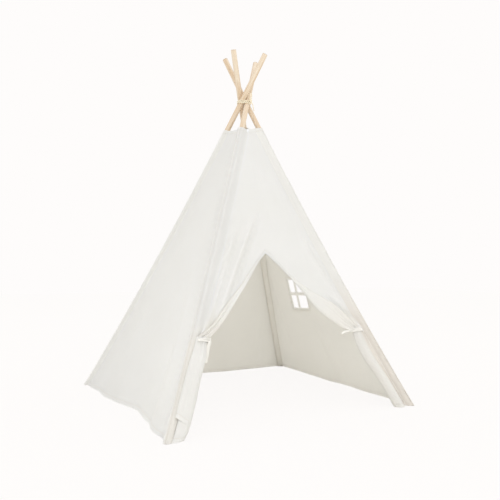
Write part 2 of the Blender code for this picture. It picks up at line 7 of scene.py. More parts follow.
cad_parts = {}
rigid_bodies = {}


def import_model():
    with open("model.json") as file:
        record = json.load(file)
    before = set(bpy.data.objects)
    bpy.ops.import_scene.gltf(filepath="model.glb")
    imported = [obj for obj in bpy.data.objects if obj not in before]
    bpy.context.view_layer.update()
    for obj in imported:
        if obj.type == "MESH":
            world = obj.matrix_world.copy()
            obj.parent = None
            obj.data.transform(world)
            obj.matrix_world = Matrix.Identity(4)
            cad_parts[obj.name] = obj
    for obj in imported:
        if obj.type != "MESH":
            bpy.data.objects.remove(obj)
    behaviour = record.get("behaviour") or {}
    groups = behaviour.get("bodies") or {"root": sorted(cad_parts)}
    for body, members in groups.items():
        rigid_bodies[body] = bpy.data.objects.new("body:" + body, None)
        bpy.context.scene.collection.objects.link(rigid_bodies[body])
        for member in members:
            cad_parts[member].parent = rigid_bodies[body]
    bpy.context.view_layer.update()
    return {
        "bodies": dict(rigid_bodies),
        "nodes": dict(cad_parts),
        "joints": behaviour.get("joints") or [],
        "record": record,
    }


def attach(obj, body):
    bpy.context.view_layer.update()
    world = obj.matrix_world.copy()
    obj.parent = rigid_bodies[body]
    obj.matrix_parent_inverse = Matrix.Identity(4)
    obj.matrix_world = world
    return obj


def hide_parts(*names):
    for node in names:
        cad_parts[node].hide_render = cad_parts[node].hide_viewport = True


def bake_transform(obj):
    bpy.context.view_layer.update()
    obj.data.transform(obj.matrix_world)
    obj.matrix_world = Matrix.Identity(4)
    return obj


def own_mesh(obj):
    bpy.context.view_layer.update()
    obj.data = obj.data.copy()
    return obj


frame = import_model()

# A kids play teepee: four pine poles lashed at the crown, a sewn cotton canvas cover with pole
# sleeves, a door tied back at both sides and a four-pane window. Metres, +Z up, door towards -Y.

# Sizes of the frame, as in the CAD model
FOOT_SPACING = 1.10
CROSSING_HEIGHT = 1.3885
POLE_BOW = 0.0204
POLE_LENGTH = 1.80
POLE_RADIUS = 0.012
CANVAS = 0.0012
FOOT_RADIUS = FOOT_SPACING / math.sqrt(2)
LEAN = math.atan2(FOOT_RADIUS, CROSSING_HEIGHT)
CROSSING_OFFSET = 0.0184816
POLE_START = 0.0084415
POLE_END = POLE_START + POLE_LENGTH
FOLD_DEG = 25.0
HINGE = Vector((0.0055577, 0.0184816, 1.3594043))

# Each leg's direction from the crown's axis, and how far up its pole the cover goes
LEGS = {"front_left": 225.0, "front_right": 315.0, "back_right": 45.0, "back_left": 135.0}
COVER_REACH = {"front_left": 1.404, "front_right": 1.420, "back_right": 1.440, "back_left": 1.408}
# How wide each sleeve is sewn to the walls, in shares of the front ones
WING_REACH = {"front_left": 1.0, "front_right": 1.0, "back_right": 0.45, "back_left": 0.45}

# Walls, seen from outside: turn from the front, left leg, right leg, and the share across at which
# the two halves of the cloth part when the frame folds
WALLS = {
    "front": (0.0, "front_left", "front_right", 0.431),
    "right": (90.0, "front_right", "back_right", 0.45),
    "back": (180.0, "back_right", "back_left", 0.5),
    "left": (270.0, "back_left", "front_left", 0.5),
}
WALL_NODES = {
    "front": "front_panel", "right": "right_wall", "back": "back_wall", "left": "left_wall",
}
# For each parting share: the direction in which each half gathers, in the front wall's frame, and
# the share of its width that is left when the frame is folded
GATHERS = {
    0.431: (((0.93148, -0.03922, -0.36168), 0.1568), ((-0.93327, -0.05940, -0.35422), 0.1573)),
    0.45: (((0.92986, -0.02416, -0.36713), 0.1550), ((-0.93162, -0.04064, -0.36116), 0.1553)),
    0.5: (((0.93477, -0.18175, -0.30524), 0.1508), ((-0.93513, -0.17478, -0.30821), 0.1507)),
}
GATHER_ANCHORS = ((-0.28864, -0.31478, 0.61253), (0.31478, -0.28864, 0.61253))

# Door: the edges and the lines that the cloth is rolled back to, across and up on the front wall
DOOR_EDGES = {
    "left": [
        (-0.020, 0.652), (-0.0688, 0.6065), (-0.1226, 0.5409), (-0.1791, 0.4782), (-0.2323, 0.4180),
        (-0.2741, 0.3747), (-0.3065, 0.3469), (-0.3380, 0.3230), (-0.354, 0.3165),
    ],
    "right": [
        (-0.020, 0.652), (0.0205, 0.6155), (0.0697, 0.5646), (0.1219, 0.5049), (0.1744, 0.4366),
        (0.2070, 0.4022), (0.2526, 0.3672), (0.3012, 0.3317), (0.347, 0.3125),
    ],
}
DOOR_FOLD_LINES = {
    "left": [
        (-0.027, 0.652), (-0.085, 0.6030), (-0.1480, 0.5350), (-0.2215, 0.4640), (-0.2750, 0.4120),
        (-0.3150, 0.3740), (-0.3500, 0.3510), (-0.388, 0.3300),
    ],
    "right": [
        (-0.012, 0.653), (0.0725, 0.5720), (0.1259, 0.5260), (0.1850, 0.4850), (0.2400, 0.4560),
        (0.2875, 0.4260), (0.3202, 0.3960), (0.350, 0.3620), (0.378, 0.3330),
    ],
}
TIE_HEIGHT = 0.3175

# Window: across and up the right wall, in that wall's own frame
WINDOW_WIDTH = 0.1346
WINDOW_HEIGHT = 0.1558
WINDOW_LEAN = 0.0226
WINDOW_TILT = -0.051
WINDOW_CENTRE = (0.0709, 0.4532)
CROSS_OFFSET = 0.013
WINDOW_BORDER = 0.015
MUNTIN = 0.0165
BINDING_CLOTH = 0.0018
BINDING_OUT = 0.0012           # from the wall's middle to the binding's
BINDING_STITCH = 0.80          # the row of stitches, in shares of the border

# Lashing
ROPE_RADIUS = 0.0025
ROPE_PITCH = 0.0058
ROPE_TURNS = 3
ROPE_CLEARANCE = 0.0005
ROPE_KNOT_DEG = 292.0

# Camera: fitted to the four feet and the four tips
CAMERA_PLACE = (-1.253, -2.606, 0.6363)
CAMERA_AZIMUTH, CAMERA_ELEVATION, CAMERA_ROLL = 0.5399, 0.040, 0.0126
CAMERA_LENS = 44.43
CAMERA_SHIFT = (-0.0974, -0.0352)
SENSOR_WIDTH = 36.0

# Studio: name, place, size and power of each lamp
FLOOR_WHITE = 0.92
WORLD_LIGHT = 1.05
LAMP_AIM = (0.0, 0.0, 0.5)
LAMPS = (
    ("key_softbox", (-1.4, -4.2, 3.2), 3.0, 40.0),
    ("fill_softbox", (4.0, -1.4, 2.4), 3.0, 13.0),
    ("back_softbox", (-2.5, 3.4, 3.0), 3.0, 9.0),
)

UP = Vector((0.0, 0.0, 1.0))
OUT = Vector((0.0, -0.927, 0.375))      # out from the front wall


# Plain helpers

def turned(azimuth):
    return Matrix.Rotation(math.radians(azimuth), 3, "Z")


def smoothstep(x):
    x = min(max(x, 0.0), 1.0)
    return x * x * (3 - 2 * x)


def running_lengths(points):
    """How far along a line each of its points lies."""
    lengths = [0.0]
    for p, q in zip(points, points[1:]):
        lengths.append(lengths[-1] + (q - p).length)
    return lengths


def curve_through(points, count, pieces=24):
    """count points spread evenly along a smooth curve through the given ones."""
    points = [Vector(p) for p in points]
    ends = [points[0] * 2 - points[1], *points, points[-1] * 2 - points[-2]]
    fine = []
    for i in range(1, len(ends) - 2):
        a, b, c, d = ends[i - 1:i + 3]
        for k in range(pieces):
            t = k / pieces
            fine.append(0.5 * (2 * b + (c - a) * t + (2 * a - 5 * b + 4 * c - d) * t ** 2
                               + (3 * b - a - 3 * c + d) * t ** 3))
    fine.append(points[-1])
    lengths = running_lengths(fine)
    result = []
    j = 0
    for i in range(count):
        want = lengths[-1] * i / (count - 1)
        while j < len(lengths) - 2 and lengths[j + 1] < want:
            j += 1
        share = (want - lengths[j]) / max(lengths[j + 1] - lengths[j], 1e-9)
        result.append(fine[j].lerp(fine[j + 1], share))
    return result


def flat_curve(places, count, stretch=1.0):
    """A smooth curve through pairs of numbers. stretch brings the second to the first's scale."""
    return curve_through([Vector((a, b * stretch, 0.0)) for a, b in places], count)


def value_at(table, x):
    """A smooth value through a table of (x, value), in rising x."""
    if x <= table[0][0]:
        return table[0][1]
    if x >= table[-1][0]:
        return table[-1][1]
    i = max(k for k in range(len(table) - 1) if table[k][0] <= x)

    def slope(k):
        a, b = table[max(k - 1, 0)], table[min(k + 1, len(table) - 1)]
        return (b[1] - a[1]) / (b[0] - a[0])

    (x0, v0), (x1, v1) = table[i], table[i + 1]
    t, size = (x - x0) / (x1 - x0), x1 - x0
    return (v0 * (2 * t ** 3 - 3 * t ** 2 + 1) + v1 * (3 * t ** 2 - 2 * t ** 3)
            + size * (slope(i) * (t ** 3 - 2 * t ** 2 + t) + slope(i + 1) * (t ** 3 - t ** 2)))


def uneven(kind, x, y, seed):
    """Soft unevenness. kind says how often it changes along x and y, and how high it stands."""
    x_rate, y_rate, height = kind
    return noise.noise(Vector((x * x_rate, y * y_rate, seed))) * height


def bowed_point(along):
    share = along / POLE_END
    bow = 4 * POLE_BOW * share * (1 - share)
    return Vector((
        FOOT_RADIUS - along * math.sin(LEAN) - bow * math.cos(LEAN),
        CROSSING_OFFSET,
        along * math.cos(LEAN) - bow * math.sin(LEAN),
    ))


def pole_point(azimuth, along):
    return turned(azimuth) @ bowed_point(along)


def pole_direction(azimuth, along, reach=0.005):
    return (pole_point(azimuth, along + reach) - pole_point(azimuth, along - reach)).normalized()


def along_at(height):
    along = height / math.cos(LEAN)
    for _ in range(6):
        along += (height - bowed_point(along).z) / math.cos(LEAN)
    return along


def half_leg(wall, half):
    """The leg that the left (0) or right (1) half of a wall is sewn to."""
    return WALLS[wall][1 + half]


# Materials

def srgb(code):
    """The linear colour of an sRGB hex value such as "EFECE4"."""
    parts = [int(code[i:i + 2], 16) / 255 for i in (0, 2, 4)]
    return (*[c / 12.92 if c <= 0.04045 else ((c + 0.055) / 1.055) ** 2.4 for c in parts], 1.0)


def add_node(tree, kind, inputs=None, output=None, **settings):
    """Adds a node with its settings, input values and links. Returns the named output, or else the
    first one in use."""
    made = tree.nodes.new("ShaderNode" + kind)
    for key, value in settings.items():
        setattr(made, key, value)
    for key, value in (inputs or {}).items():
        if isinstance(value, bpy.types.NodeSocket):
            tree.links.new(value, made.inputs[key])
        else:
            made.inputs[key].default_value = value
    return made.outputs[output] if output else next((s for s in made.outputs if s.enabled), None)


def maths(tree, operation, *values):
    return add_node(tree, "Math", dict(enumerate(values)), operation=operation)


def mottle(tree, place, scale=1.0, detail=2.0, **more):
    return add_node(tree, "TexNoise", {"Vector": place, "Scale": scale, "Detail": detail, **more})


def stretch(tree, place, scale, **more):
    return add_node(tree, "Mapping", {"Vector": place, "Scale": scale, **more})


def spread(tree, value, low, high, start=0.0, end=1.0, **settings):
    return add_node(tree, "MapRange", {
        "Value": value, "From Min": low, "From Max": high, "To Min": start, "To Max": end,
    }, **settings)


def mix_colour(tree, share, a, b):
    return add_node(tree, "Mix", {"Factor": share, "A": a, "B": b}, data_type="RGBA")


def bump(tree, height, strength, depth, under=None):
    inputs = {"Height": height, "Strength": strength, "Distance": depth}
    if under:
        inputs["Normal"] = under
    return add_node(tree, "Bump", inputs)


def new_material(name, roughness, **constants):
    mat = bpy.data.materials.new(name)
    mat.use_nodes = True
    shader = mat.node_tree.nodes["Principled BSDF"]
    shader.inputs["Roughness"].default_value = roughness
    for key, value in constants.items():
        shader.inputs[key.replace("_", " ")].default_value = value
    return mat, mat.node_tree, shader


def link_look(tree, shader, colour, normal=None):
    tree.links.new(colour, shader.inputs["Base Color"])
    if normal:
        tree.links.new(normal, shader.inputs["Normal"])


WAVE_BAND = 0.314              # the wave texture's bands are this far apart at scale 1
THREAD = 0.0022                # canvas threads are 0.7 mm apart: drawn as fine as still shows
SLUB_RATES = (14.0, 420.0)     # slubs are about 80 mm long and 2 mm thick
STITCH_WIDTH = 0.0016          # real thread is 0.5 mm: drawn wider, so that a row shows
STITCH_PITCH = 0.0075          # real stitches are 3.5 mm long: drawn longer for the same reason
STITCH_SHARE = 0.64
GROOVE = 0.006


def woven_cloth(name, light, dark, passed, thread=THREAD, weave_depth=0.0005, crease_depth=0.0022):
    """Plain-woven cotton. The eye gets a matt, slightly uneven off-white: crossing threads, thicker
    slubs here and there, soft creases, and rows of stitches where the cloth carries them. passed is
    the share of the light that goes through a face."""
    mat, tree, shader = new_material(name, 0.92, Sheen_Weight=0.15, Sheen_Roughness=0.5)
    uv = add_node(tree, "UVMap", uv_map="cloth")
    place = add_node(tree, "TexCoord", output="Object")
    threads = {"Vector": uv, "Scale": WAVE_BAND / thread, "Distortion": 1.6, "Detail": 2.0,
               "Detail Scale": 0.4}
    weave = maths(tree, "MULTIPLY", *[
        add_node(tree, "TexWave", threads, "Fac", wave_type="BANDS", bands_direction=way)
        for way in "XY"
    ])
    slow, fast = SLUB_RATES
    slubs = maths(tree, "ADD", *[mottle(tree, stretch(tree, uv, rates))
                                 for rates in ((slow, fast, 1.0), (fast, slow, 1.0))])
    tone = maths(tree, "MULTIPLY_ADD", slubs, 0.5, mottle(tree, place, 5.0, 4.0, Roughness=0.6))
    cloth = mix_colour(tree, spread(tree, tone, 0.6, 1.4), srgb(dark), srgb(light))
    # The attribute holds painted shade where the cloth lies thick, over the pine and in corners and
    # gutters; below zero it is a painted highlight.
    painted_shading = add_node(tree, "Attribute", output="Vector", attribute_name="painted_shading")
    tinted = add_node(tree, "VectorMath", {0: cloth, 1: painted_shading}, operation="SUBTRACT")
    # The attribute holds the distance from a stitch row across the cloth and from one along it.
    sewing = add_node(tree, "Attribute", output="Vector", attribute_name="sewing")
    off = add_node(tree, "SeparateXYZ", {"Vector": sewing}).node.outputs
    run = add_node(tree, "SeparateXYZ", {"Vector": uv}).node.outputs
    rows, grooves = [], []
    for axis in "XY":
        near = maths(tree, "ABSOLUTE", off[axis])
        line = maths(tree, "LESS_THAN", near, STITCH_WIDTH / 2)
        beat = maths(tree, "FRACT", maths(tree, "DIVIDE", run[axis], STITCH_PITCH))
        rows.append(maths(tree, "MULTIPLY", line, maths(tree, "LESS_THAN", beat, STITCH_SHARE)))
        grooves.append(spread(tree, near, 0.0, GROOVE, interpolation_type="SMOOTHSTEP"))
    stitches = maths(tree, "MAXIMUM", *rows)
    sewn = mix_colour(tree, stitches, tinted, srgb("EAE4D8"))
    creases = mottle(tree, place, 17.0, 3.0, Roughness=0.55)
    normal = bump(tree, creases, 1.0, crease_depth)
    normal = bump(tree, maths(tree, "MINIMUM", *grooves), 0.6, 0.0012, normal)
    normal = bump(tree, stitches, 0.6, 0.0006, normal)
    normal = bump(tree, weave, 0.5, weave_depth, normal)
    link_look(tree, shader, sewn, normal)
    # Light cotton lets much of the light through, a little yellower than it came.
    glow = add_node(tree, "BsdfTranslucent", {"Color": srgb("FEFDF9"), "Normal": normal})
    # The attribute is 1 where a pole or a second layer stops the light.
    backing = add_node(tree, "Attribute", output="Fac", attribute_name="backing")
    share = spread(tree, backing, 0.0, 1.0, passed, 0.0, clamp=False)
    both = add_node(tree, "MixShader", {0: share, 1: shader.outputs["BSDF"], 2: glow})
    tree.links.new(both, tree.nodes["Material Output"].inputs["Surface"])
    return mat


def pine(name, from_attribute):
    """A sanded, unvarnished pine dowel: pale sapwood, darker late-wood lines along the pole about
    3 mm apart, fine fibres, and a slightly dry surface."""
    mat, tree, shader = new_material(name, 0.58)
    if from_attribute:
        place = add_node(tree, "Attribute", output="Vector", attribute_name="grain")
    else:
        place = add_node(tree, "TexCoord", output="Object")
    late_wood = stretch(tree, place, (150.0, 150.0, 4.0))
    lines = mottle(tree, late_wood, detail=3.0, Roughness=0.55, Distortion=0.4)
    fibres = mottle(tree, stretch(tree, place, (900.0, 900.0, 22.0)))
    ramp = add_node(tree, "ValToRGB", {"Fac": lines})
    stops = ramp.node.color_ramp.elements
    for stop, (position, colour) in zip(stops, ((0.36, "D2B898"), (0.60, "E7D9C5"))):
        stop.position, stop.color = position, srgb(colour)
    fibred = mix_colour(tree, spread(tree, fibres, 0.35, 0.65, 0.0, 0.35), ramp, srgb("D5C1A8"))
    warm = spread(tree, mottle(tree, place, 9.0), 0.45, 0.75, 0.0, 0.45)
    wood = mix_colour(tree, warm, fibred, srgb("D8BFA8"))
    link_look(tree, shader, wood, bump(tree, fibres, 0.35, 0.0004))
    return mat


def cotton_cord():
    """Three-strand cotton cord, unbleached: soft, matt, with fine yarns wound along each strand and
    painted shade in the hollows between the strands."""
    mat, tree, shader = new_material("cotton_cord_twisted", 0.9, Sheen_Weight=0.2)
    uv = add_node(tree, "UVMap", uv_map="cloth")
    hollow = add_node(tree, "Attribute", output="Fac", attribute_name="hollow")
    yarns = mottle(tree, stretch(tree, uv, (2600.0, 300.0, 1.0), Rotation=(0.0, 0.0, 0.7)))
    tone = mix_colour(tree, yarns, srgb("EEE1C6"), srgb("FAF2E0"))
    # The hollows between the strands get a painted shade.
    cotton = mix_colour(tree, hollow, tone, srgb("DAC9A6"))
    link_look(tree, shader, cotton, bump(tree, yarns, 0.5, 0.0005))
    return mat


def zinc_steel():
    """Drawn, zinc-plated steel tube: dull grey metal, a little cloudy."""
    mat, tree, shader = new_material("zinc_plated_steel", 0.38, Metallic=1.0)
    bloom = mottle(tree, add_node(tree, "TexCoord", output="Object"), 120.0, 4.0)
    link_look(tree, shader, mix_colour(tree, bloom, srgb("A9ABAB"), srgb("CFD0CD")))
    return mat


canvas = woven_cloth("cotton_canvas_natural", "F7F9FF", "F0F2F5", 0.51)
# The inner face is painted creamier: painted shade for the warmer light inside the tent.
inner_canvas_painted_shade = woven_cloth("cotton_canvas_inner_face_painted_shade", "F9F7F2", "F1EFEA", 0.51)
# Several layers let less light through. The sleeves' inner skins are painted whiter, as painted
# light against the shade of the pole behind them.
sleeve_lining_painted_light = woven_cloth("cotton_canvas_sleeve_lining_painted_light", "FFFDF9", "F9F7F2", 0.28)
layered_canvas = woven_cloth("cotton_canvas_layered", "F9F8F5", "F1F0ED", 0.28)
# The tape is a finer, creamier twill.
tape = woven_cloth("cotton_tape_cream", "FBF9F5", "F6F3EC", 0.15, 0.0016, 0.0004, 0.0010)
trim_canvas = woven_cloth("cotton_canvas_trim", "F9F8F7", "F1F0EE", 0.51, crease_depth=0.0010)
pine_pole = pine("pine_dowel", True)
pine_inner = pine("pine_dowel_inner", False)
cord_material = cotton_cord()
steel = zinc_steel()


# Sheets

def store(mesh, name, kind, values):
    """A value for each point of a mesh, which a material reads."""
    field = "value" if kind == "FLOAT" else "vector"
    for item, value in zip(mesh.attributes.new(name, kind, "POINT").data, values):
        setattr(item, field, value)


def paint_shading(obj, amounts):
    """Painted shade per point in red, green and blue; below zero it is a painted highlight."""
    store(obj.data, "painted_shading", "FLOAT_VECTOR", amounts)


def new_object(name, data):
    obj = bpy.data.objects.new(name, data)
    bpy.context.scene.collection.objects.link(obj)
    return obj


def grid_mesh(name, rows, faces, uvs, sewing):
    """A mesh through rows of points. uvs are metres along the cloth, and sewing holds the distances
    from the nearest stitch rows, point by point."""
    mesh = bpy.data.meshes.new(name)
    mesh.from_pydata([tuple(p) for row in rows for p in row], [], faces)
    layer = mesh.uv_layers.new(name="cloth")
    for loop in mesh.loops:
        layer.data[loop.index].uv = uvs[loop.vertex_index]
    store(mesh, "sewing", "FLOAT_VECTOR", sewing)
    return mesh


def start_edit(mesh):
    edit = bmesh.new()
    edit.from_mesh(mesh)
    return edit


def end_edit(edit, mesh):
    """Writes a sheet's edit back, with its free edges sharp."""
    for edge in edit.edges:
        edge.smooth = len(edge.link_faces) > 1
    edit.to_mesh(mesh)
    edit.free()


def delete_faces(edit, faces, context="FACES"):
    bmesh.ops.delete(edit, geom=faces, context=context)


def sheet_object(name, rows, uvs, sewing, material, thickness=CANVAS, closed=False, bottom=False):
    """A cloth surface through rows of points. closed joins each row's ends, and bottom fills the
    first row."""
    columns = len(rows[0])
    faces = []
    for r in range(len(rows) - 1):
        for c in range(columns if closed else columns - 1):
            low = r * columns + c
            beside = r * columns + (c + 1) % columns
            faces.append((low, beside, beside + columns, low + columns))
    if bottom:
        faces.append(tuple(reversed(range(columns))))
    mesh = grid_mesh(name, rows, faces, [uv for row in uvs for uv in row],
                     [(a, b, 0.0) for row in sewing for a, b in row])
    if closed:
        layer = mesh.uv_layers["cloth"]
        width = uvs[0][-1][0] + (rows[0][0] - rows[0][-1]).length
        for r in range(len(rows) - 1):
            for loop in mesh.polygons[r * columns + columns - 1].loop_indices:
                if mesh.loops[loop].vertex_index % columns == 0:
                    layer.data[loop].uv.x = width
    obj = new_object(name, mesh)
    mesh.shade_smooth()
    end_edit(start_edit(mesh), mesh)
    mesh.materials.append(material)
    solid = obj.modifiers.new("thickness", "SOLIDIFY")
    solid.thickness = thickness
    solid.offset = 0.0
    return obj


def declare(obj, rests_on):
    """Reads the piece's cloth coordinates across and along, and keeps nothing."""
    layer = obj.data.uv_layers["cloth"].data
    across = [d.uv.x for d in layer]
    along = [d.uv.y for d in layer]


# Cover walls

WALL_EDGE = 0.0135             # from a pole's axis, inside the skin of its sleeve
WALL_STEP = 0.011
FRONT_STEP = 0.0065
WALL_RISE = 0.86               # a wall's height over its length along the poles
WALL_DROP = 0.93               # a wall's own length over the length along the poles
FLOOR_GAP = 0.0009
HEM = 0.0195
STITCH_INSET = 0.0165
HEM_PLIES = 0.0011             # how far the hem's second and third plies stand out
HEM_STEP = 0.0016              # and the width over which they end
HEM_MARKS = (0.0, 0.0015, 0.010, 0.0185, 0.0195, 0.0205)
COVER_LENGTH = 1.41            # nominal, along the poles
NARROWING = 0.97               # how much narrower a wall is there than at the floor
FLAT_EDGE = 0.012              # the cloth lies flat this close to a pole
FRONT_EASE, WALL_EASE = 0.035, 0.055    # and hangs freely this much farther out
WALL_LENGTH = 1.3              # of a column of cloth, for the number of its steps
DOOR_HEIGHTS = (0.30, 0.66)    # the door's edge lies between these
LEFT_HEM_LIFT = 0.025
LEFT_HEM_PULL = 0.030

# Soft folds: start and end across and up, width and height, in metres. A minus sinks inwards.
FOLDS = {
    "front": [
        ((-0.075, 1.18), (-0.235, 0.60), 0.016, -0.0060),
        ((-0.030, 0.800), (-0.235, 0.440), 0.013, -0.0120),
        ((-0.060, 0.790), (-0.270, 0.430), 0.013, 0.0085),
        ((-0.120, 0.760), (-0.300, 0.400), 0.010, -0.0060),
        ((-0.155, 0.740), (-0.330, 0.380), 0.010, 0.0080),
        ((-0.190, 0.660), (-0.355, 0.365), 0.009, -0.0070),
        ((-0.215, 0.640), (-0.378, 0.360), 0.008, 0.0060),
        ((0.110, 1.050), (0.200, 0.640), 0.022, 0.0040),
        ((0.190, 0.740), (0.372, 0.370), 0.015, -0.0060),
        ((0.225, 0.720), (0.398, 0.350), 0.013, 0.0060),
        ((0.000, 1.200), (0.015, 0.950), 0.020, -0.0035),
        ((0.252, 0.470), (0.364, 0.370), 0.006, -0.0090),
    ],
    "right": [
        ((-0.20, 0.95), (-0.30, 0.30), 0.030, -0.0050),
        ((0.10, 1.10), (0.16, 0.68), 0.022, 0.0040),
        ((0.30, 0.55), (0.36, 0.05), 0.030, 0.0050),
        ((-0.02, 0.30), (-0.06, 0.00), 0.028, -0.0060),
    ],
    "back": [
        ((-0.06, 1.15), (-0.20, 0.55), 0.024, -0.0045),
        ((0.10, 1.05), (0.26, 0.40), 0.026, 0.0050),
        ((0.02, 0.60), (0.05, 0.00), 0.040, -0.0070),
        ((-0.33, 0.35), (-0.36, 0.00), 0.026, 0.0060),
    ],
    "left": [
        ((0.05, 1.15), (0.16, 0.70), 0.024, -0.0040),
        ((0.16, 0.62), (0.36, 0.10), 0.030, 0.0050),
        ((-0.08, 0.90), (-0.26, 0.20), 0.034, -0.0055),
        ((0.26, 0.30), (0.32, 0.00), 0.026, -0.0070),
        ((0.40, 0.22), (0.44, 0.00), 0.020, 0.0060),
    ],
}
FOLD_OVERRUN = 0.2             # a fold fades out past its ends, in shares of its length
FOLD_FADE = 0.45
# How far the middle of each wall hangs in, in metres
SAGS = {"front": 0.004, "right": 0.003, "back": 0.009, "left": 0.008}
SEEDS = {"front": 1.0, "right": 7.0, "back": 13.0, "left": 19.0}
DRIFT, RIPPLE, HEM_WAVE = (2.6, 1.9, 0.0050), (8.5, 3.6, 0.0022), (7.0, 1.2, 0.013)


def front_poles(along):
    """The axes of the front's two poles, at a place along them."""
    return [pole_point(LEGS[half_leg("front", half)], along) for half in (0, 1)]


def wall_base(u, along):
    """A point of the flat wall between two poles, in the front wall's frame."""
    left, right = front_poles(along)
    across = (right - left).normalized()
    return (left + across * WALL_EDGE).lerp(right - across * WALL_EDGE, u)


def share_across(x, along):
    """The share of a wall's width at a place across it."""
    low, high = wall_base(0.0, along), wall_base(1.0, along)
    return (x - low.x) / (high.x - low.x)


def hem_lift(wall, u):
    """How much of the left hem's lift shows at a place: one hump, nearer the front pole."""
    return math.sin(math.pi * u ** 1.45) ** 4 if wall == "left" else 0.0


def fold_height(wall, x, z):
    total = 0.0
    for (x0, z0), (x1, z1), width, height in FOLDS[wall]:
        dx, dz = x1 - x0, z1 - z0
        size = math.hypot(dx, dz)
        t = ((x - x0) * dx + (z - z0) * dz) / size ** 2
        if not -FOLD_OVERRUN < t < 1 + FOLD_OVERRUN:
            continue
        off = ((x - x0) * dz - (z - z0) * dx) / size
        fade_in = smoothstep((t + FOLD_OVERRUN) / FOLD_FADE)
        fade_out = smoothstep((1 + FOLD_OVERRUN - t) / FOLD_FADE)
        total += height * (fade_in * fade_out) * math.exp(-(off / width) ** 2)
    return total


def relief(wall, u, along, x, z):
    """How far the cloth stands out from the flat wall: a hanging middle, a pulled hem, and, away
    from the poles, folds and unevenness."""
    h = min(max(along / COVER_LENGTH, 0.0), 1.0)
    from_pole = min(u, 1 - u) * (FOOT_SPACING - NARROWING * h)
    side = smoothstep((from_pole - FLAT_EDGE) / (FRONT_EASE if wall == "front" else WALL_EASE))
    belly = 4 * u * (1 - u) * math.sin(math.pi * (0.15 + 0.85 * h))
    seed = SEEDS[wall]
    drift, ripple = uneven(DRIFT, x, z, seed), uneven(RIPPLE, x, z, seed + 3)
    wave = uneven(HEM_WAVE, x, z, seed + 5) * (1 - h) ** 5
    pull = LEFT_HEM_PULL * hem_lift(wall, u) * (1 - h) ** 4
    return -SAGS[wall] * belly - pull + side * (drift + ripple + wave + fold_height(wall, x, z))


def wall_point(wall, u, along, from_edge=1.0):
    base = wall_base(u, along)
    plies = HEM_PLIES * (1 - smoothstep((from_edge - (HEM - HEM_STEP / 2)) / HEM_STEP))
    return base + OUT * (relief(wall, u, along, base.x, base.z) + plies)


def front_place(x, z, out=0.0):
    """A point on the front wall at a place across and up, standing out from the cloth."""
    along = along_at(z)
    return wall_point("front", share_across(x, along), along) + OUT * out


DOOR_LINES = {side: flat_curve(places, 60) for side, places in DOOR_EDGES.items()}


def door_height(x):
    """The door edge's height at a place across the front."""
    line = DOOR_LINES["left" if x < DOOR_EDGES["left"][0][0] else "right"]
    for a, b in zip(line, line[1:]):
        if min(a.x, b.x) <= x <= max(a.x, b.x):
            return a.y + (b.y - a.y) * (x - a.x) / (b.x - a.x)
    return line[-1].y


def bottom_along(wall, u):
    """Where a column of the cloth starts: at the floor, a lifted hem or the door's edge."""
    if wall == "left":
        return LEFT_HEM_LIFT * hem_lift(wall, u)
    if wall != "front":
        return 0.0
    low, high = [along_at(height) for height in DOOR_HEIGHTS]
    for _ in range(24):
        middle = (low + high) / 2
        p = wall_base(u, middle)
        if p.z < door_height(p.x):
            low = middle
        else:
            high = middle
    return (low + high) / 2


def wall_stations(start, end):
    """Places along a column of the cloth, each with its distance from the nearer hem."""
    marks = HEM_MARKS[:-1]
    low, high = start + HEM_MARKS[-1], end - HEM_MARKS[-1]
    count = round(WALL_LENGTH / WALL_STEP)
    stations = [(start + m, m) for m in marks]
    for r in range(count + 1):
        along = low + (high - low) * r / count
        stations.append((along, min(along - start, end - along)))
    return stations + [(end - m, m) for m in reversed(marks)]


def build_wall_half(wall, half):
    turn_deg, left_leg, right_leg, split = WALLS[wall]
    turn = turned(turn_deg)
    first, last = (0.0, split) if half == 0 else (split, 1.0)
    columns = round((last - first) * FOOT_SPACING / (FRONT_STEP if wall == "front" else WALL_STEP))
    floor = FLOOR_GAP if wall != "front" else 0.0
    grid = []
    for c in range(columns + 1):
        u = first + (last - first) * c / columns
        start = bottom_along(wall, u)
        end = COVER_REACH[left_leg] * (1 - u) + COVER_REACH[right_leg] * u
        column = []
        for along, from_edge in wall_stations(start, end):
            point = wall_point(wall, u, along, from_edge)
            point.z = max(point.z, floor)
            if wall not in ("front", "left") and along == start:
                point.z = floor
            column.append((turn @ point, (wall_base(u, along).x, along * WALL_DROP),
                           (from_edge - STITCH_INSET, 1.0)))
        grid.append(column)
    rows, uvs, sewing = [[[cell[k] for cell in row] for row in zip(*grid)] for k in range(3)]
    name = f"{wall}_wall_{'left' if half == 0 else 'right'}_half"
    obj = sheet_object(name, rows, uvs, sewing, canvas)
    obj.data.materials.append(inner_canvas_painted_shade)
    obj.modifiers["thickness"].material_offset = 1
    shade_wall_half(obj, wall, half, turn)
    if wall == "right" and half == 1:
        cut_window(obj)
    return obj


# Painted shade: the cloth's loss in red, green and blue, and its reach from the pole or the tie
CORNER_PAINTED_SHADE, CORNER_REACH = Vector((0.034, 0.036, 0.040)), 0.14
DOUBLED_PAINTED_SHADE, DOUBLED_REACH = Vector((0.020, 0.045, 0.095)), 0.12
SEAM_ALLOWANCE, ALLOWANCE_BACKING = 0.06, 0.16
BACKING_BLEND = 0.012
WING_INSET = 0.013


